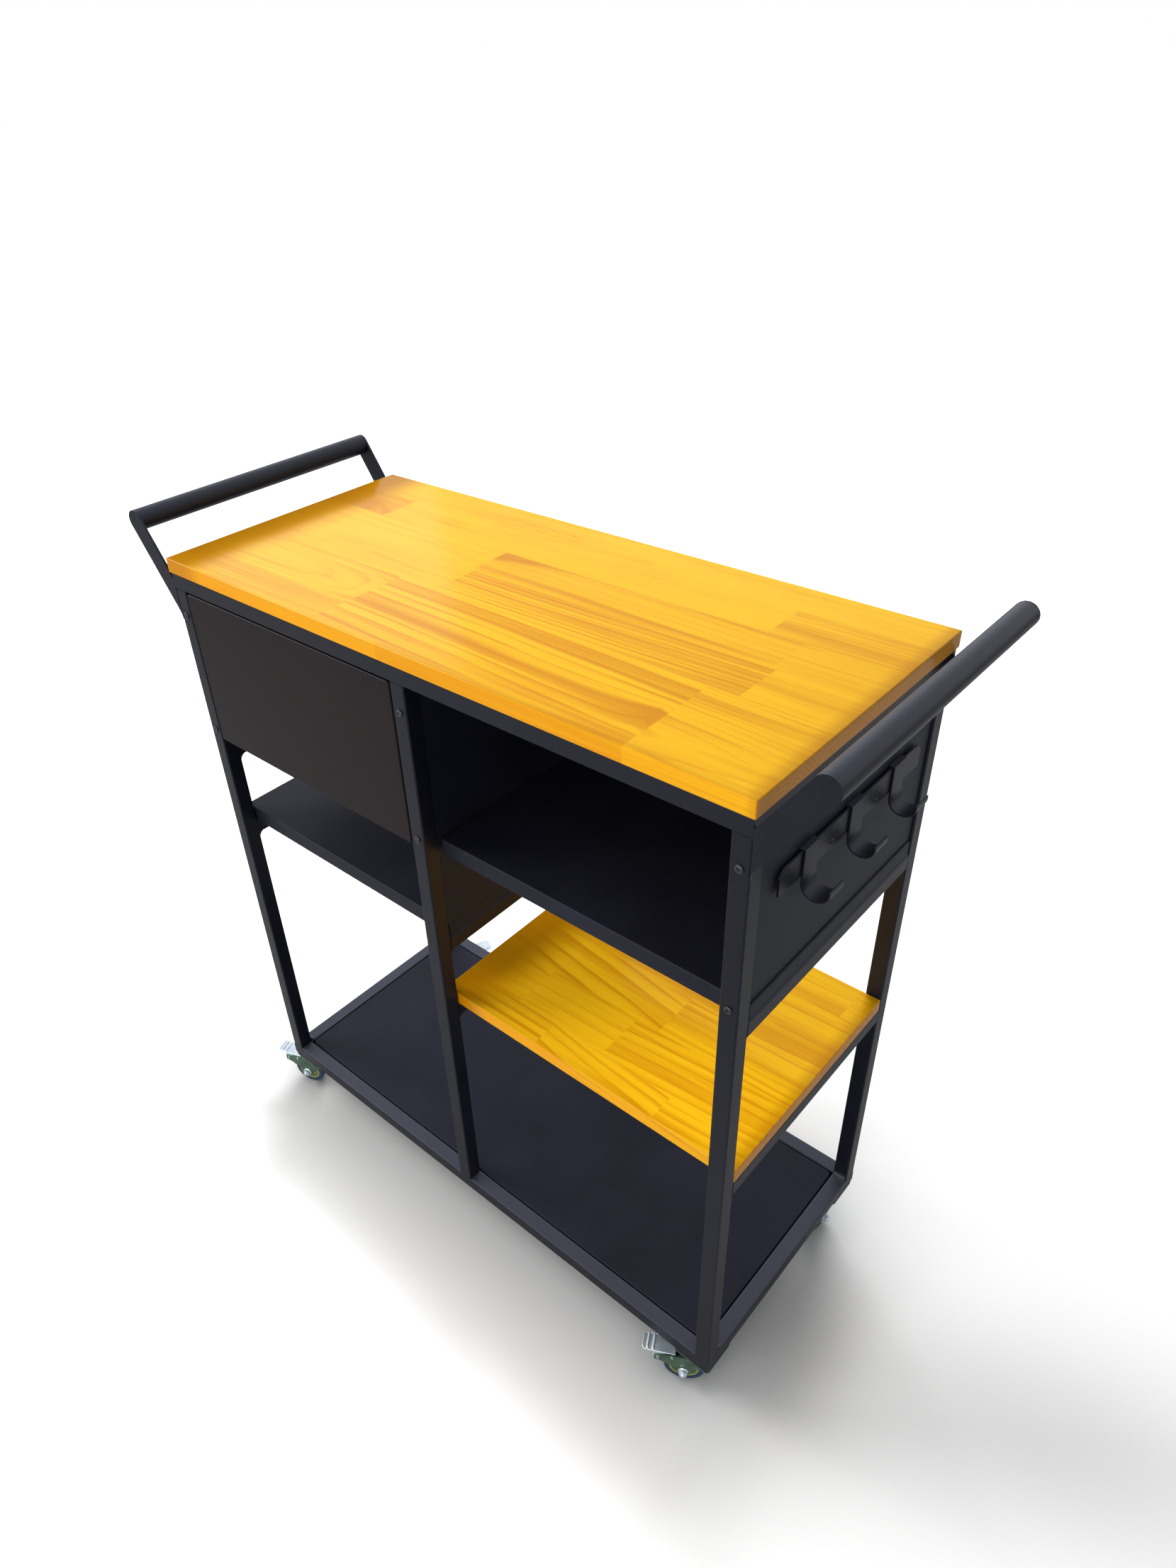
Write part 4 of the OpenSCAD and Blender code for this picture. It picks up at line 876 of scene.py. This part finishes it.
def formed_pedal(corner):
    """Brake pedal: ribbed plate, beaded rim, two ears on the pivot and the shoe. The heads of the
    rivets beside it stay with the fork."""
    node = "pedal_" + corner
    axes = CastorAxes(corner)
    (start, _, bottom), (tip, half, highest) = axes.box(node)
    top = highest - RIB_H
    under = top - PEDAL_SHEET
    middle = top - PEDAL_SHEET / 2
    pivot, level = tip - PEDAL_ARM, bottom + SHOE_DROP
    plate = pedal_plate(start, tip, half, top)
    below = plate.copy()
    below[..., 2] = under
    grids = closed_sheet(plate, below)
    grids.append(pedal_rim(start, tip, half, top - BEAD_DROP))
    for side in (-1, 1):
        grids += pedal_ear(pivot, level, side * half, side * (half - EAR_SHEET), middle - level)
    shoe = pivot - SHOE_BACK
    grids += rounded_block((shoe, -SHOE_HALF, bottom), (shoe + EAR_SHEET, SHOE_HALF, middle),
                           SHOE_EDGE)
    grids = [set_in(grid, axes.origin, axes.along, axes.across, axes.up) for grid in grids]
    even_normals(add_piece(join_grids("formed_" + node, grids), node + "_body", "zinc", node))
    heads = [set_in(rivet_head(RIVET_R, RIVET_H), axes.at(along, side * CHEEK_FACE, up),
                    axes.along, axes.up, side * axes.across)
             for along, up in ((pivot, level), (pivot - STOP_BACK, under - STOP_DROP))
             for side in (-1, 1)]
    add_piece(join_grids("rivet_heads_" + corner, heads), "castor_" + corner, "zinc")


# Axle bolt: stud, thread, flange nut and hexagon head
STUD_R = 0.003
THREAD = 0.00018
THREAD_PITCH = 0.001
THREAD_START = 0.010
STUD_TIP = 0.0006
STUD_TIP_R = 0.0022
STUD_FOOT_R = 0.0027
NUT_FLAT = 0.005
NUT_H = 0.0056
FLANGE_R = 0.0066
FLANGE_H = 0.0016
FLANGE_RIM = 0.6 * FLANGE_H
NUT_SEAT = 0.8 * FLANGE_H
HEAD_FLAT = 0.92 * FLANGE_R
CHAMFER = 0.00018


def hexagon(flat, height):
    """Grids of a hexagon head on z = 0. Its outline is flat / cos(a) for an angle a from the
    middle of each side, and a cone of 30 degrees takes off its corners: z = h - max(p - flat, 0)
    tan 30. The face rounds off a little towards the rim."""
    turn = np.linspace(0, 2 * math.pi, 49)
    off = (turn + math.pi / 6) % (math.pi / 3) - math.pi / 6
    reach = flat / np.cos(off)
    share = np.concatenate([[0, 0.5], np.linspace(0.80, 1, 6)])[:, None]
    radius = share * reach
    cone = np.maximum(radius - flat, 0) * math.tan(math.pi / 6)
    top = height - cone - CHAMFER * share ** 8
    crown = np.stack([radius * np.cos(turn), radius * np.sin(turn), top], -1)
    return [crown, np.stack([crown[-1], crown[-1] * (1, 1, 0)])]


def formed_axle(corner):
    """Axle bolt: hexagon head on one cheek, flange nut and the end of the thread on the other. The
    thread is a helix, r = R + d (cos(a - 2 pi z / pitch) - 1), and the rest of the stud has the
    radius R - d."""
    node = "axle_" + corner
    axes = CastorAxes(corner)
    low, high = axes.box(node)
    hub, _, level = (low + high) / 2
    reach = high[1]
    turn = np.linspace(0, 2 * math.pi, 33)[None, :]
    z = np.linspace(-CHEEK_FACE, reach - STUD_TIP, 160)[:, None]
    wave = THREAD * np.cos(turn - 2 * math.pi * z / THREAD_PITCH)
    thread = STUD_R - THREAD + wave * (z > THREAD_START)
    stud = np.stack([thread * np.cos(turn), thread * np.sin(turn), z + 0 * turn], -1)
    tip = turned([(0, reach), (STUD_TIP_R, reach), (STUD_FOOT_R, reach - STUD_TIP)])
    flange = turned([(STUD_R, 0), (FLANGE_R, 0), (FLANGE_R, FLANGE_RIM), (NUT_FLAT, FLANGE_H)])
    nut = [part + (0, 0, NUT_SEAT) for part in hexagon(NUT_FLAT, NUT_H - NUT_SEAT)]
    head = hexagon(HEAD_FLAT, -low[1] - CHEEK_FACE)
    grids = [set_in(grid, axes.at(hub, 0, level), axes.along, -axes.up, axes.across)
             for grid in (stud, tip)]
    for side, parts in ((1, [flange] + nut), (-1, head)):
        seat = axes.at(hub, side * CHEEK_FACE, level)
        grids += [set_in(part, seat, axes.along, axes.up, side * axes.across) for part in parts]
    even_normals(add_piece(join_grids("formed_" + node, grids), "castor_" + corner, "zinc", node))


# Plates that the castors swivel under, with the race and the king pin below them
PLATE_T = 0.0025
PLATE_CORNER = 0.005
PLATE_EDGE = 0.0004
RACE_R = 0.015
RACE_H = 0.0055
RACE_STEP = 0.001
KING_R = 0.005
KING_HEAD_R = 0.008
KING_HEAD_H = 0.002


def mounting_plates():
    """The plates that the castors swivel under, with the raised race and the head of the king
    pin."""
    grids = []
    for low, high in solids_of("castor_plates"):
        middle, half = (low + high) / 2, (high[0] - low[0]) / 2
        top = (middle[0], middle[1], high[2])
        foot = low[2] - high[2]
        race = -PLATE_T - RACE_H
        section = [(half, 0), (PLATE_EDGE, 0), (0, PLATE_EDGE), (0, PLATE_T - PLATE_EDGE),
                   (PLATE_EDGE, PLATE_T), (half, PLATE_T)]
        grids.append(set_in(pressed_sheet(half, half, PLATE_CORNER, section),
                            top, (1, 0, 0), (0, 1, 0), (0, 0, 1)))
        king_pin = turned([
            (0, foot), (0.7 * KING_HEAD_R, foot), (KING_HEAD_R, foot + KING_HEAD_H / 2),
            (KING_HEAD_R, foot + KING_HEAD_H), (KING_R, foot + KING_HEAD_H), (KING_R, race),
            (RACE_R - RACE_STEP, race), (RACE_R, -PLATE_T - 0.8 * RACE_H), (RACE_R, -PLATE_T)])
        grids.append(king_pin + top)
    plates = join_grids("mounting_plates", grids)
    even_normals(add_piece(plates, "cart", "fork_zinc", "castor_plates"))


# Floor

FLOOR_REACH = 40
FLOOR_GREY = (0.40, 0.40, 0.40)
POOL_X, POOL_Y = 0.42, -0.10
POOL_COS, POOL_SIN = 0.907, 0.42


def openness(f, reach, way=None):
    """1 where nothing stands within reach of a point, down to 0 where it is closed in, seen about
    the normal or about a way of its own."""
    inputs = {"Distance": reach, "Normal": way} if way else {"Distance": reach}
    return f.number("AO", "ShaderNodeAmbientOcclusion", {"samples": 16}, inputs)


def lay_floor():
    """Pale studio floor that keeps the shadow and runs over into the white of the world.

    For the camera its colour carries painted shade near the cart, under it and on the side away
    from the key lamp, and a painted pool of shadow to the right, exp(-60 across^2) about a line
    from its front right corner. Its glow is painted light that only the camera sees: it grows the
    further out it is, and more on its left side, so that it ends up white.
    """
    mesh = bpy.data.meshes.new("floor")
    corners = [(-1, -1), (1, -1), (1, 1), (-1, 1)]
    mesh.from_pydata([(x * FLOOR_REACH, y * FLOOR_REACH, 0) for x, y in corners],
                     [], [(0, 1, 2, 3)])
    floor = bpy.data.objects.new("floor", mesh)
    SCENE.collection.objects.link(floor)
    f = Finish("floor")
    seen = f.number("Is Camera Ray", "ShaderNodeLightPath")

    # Painted shade for the camera: near, lee and touch darken the floor's colour near the cart, away from the key
    # lamp and where parts meet it, and the pool darkens it to the right
    near = openness(f, 0.22)
    lee = openness(f, 0.7, (-0.75, -0.15, 0.60))
    touch = openness(f, 0.06)
    x, y = f.x - POOL_X, f.y - POOL_Y
    along, across = x * POOL_COS + y * POOL_SIN, y * POOL_COS - x * POOL_SIN
    pool = (across * across * -60).calc("EXPONENT")
    pool = pool * along.band(-0.10, 0.10) * along.band(1.0, 0.25) * 0.26
    shade = (near * 0.50 + 0.37) * (lee * 0.30 + 0.70) * (touch * 0.40 + 0.60) - pool

    # Painted light: only the camera sees the floor glow, more far out and on its left side
    distance = (f.x * f.x + f.y * f.y) ** 0.5
    past = (abs(f.x - 0.3) - 0.7).calc("MAXIMUM", 0.0)
    side = (past * past + (f.y + 0.08) ** 2) ** 0.5
    left = (f.x * -0.8 - f.y * 0.6).band(-0.55, 0.35)
    glow = seen * (distance.band(0.7, 2.6) + side.band(0.12, 0.45) * (left * 0.40 + 0.05))

    f.surface(Base_Color=f.blend(seen, FLOOR_GREY, shade), Roughness=0.9,
              Specular_IOR_Level=0.1, Emission_Color=glow, Emission_Strength=1.0)
    mesh.materials.append(f.material)


# Pieces

# Width of the round edges of the CAD nodes whose names start so
SOFT_EDGES = {
    0.0006: ("handle_arms",),
    0.0005: ("post", "top_", "base_", "panel_rails", "left_shelf_rails", "wood_shelf_rails",
             "hooks", "wheel"),
    0.0004: ("handle_bar", "hook_strip", "fork", "corner_plates", "shelf_screws"),
    0.0003: ("right_end", "left_end", "divider", "back_panels", "drawer_box"),
    0.0002: ("runner",)}

place_camera()
light_scene()
coat_solids()
for width, starts in SOFT_EDGES.items():
    for name in NODES:
        if name.startswith(starts):
            soften(name, width)

glued_board("wood_top", TOP_ROWS, TOP_STAVES)
glued_board("wood_shelf", SHELF_ROWS, SHELF_STAVES)
folded_shelf("steel_shelf_left")
folded_shelf("steel_shelf_right")
folded_shelf("floor_tray", TRAY_CORNER)
drawer_face("drawer_front")
screw_set("panel_screws", "cart", Y)
screw_set("drawer_screws", "drawer", Y, -1)
screw_set("wood_screws", "cart", Z, 1)
screw_set("castor_screws", "cart", Z, 1, CASTOR_HEAD_ROOM, CASTOR_HEAD_H)
for corner in CORNERS:
    formed_pedal(corner)
    formed_axle(corner)
mounting_plates()
lay_floor()

SCENE.view_settings.view_transform = "Standard"
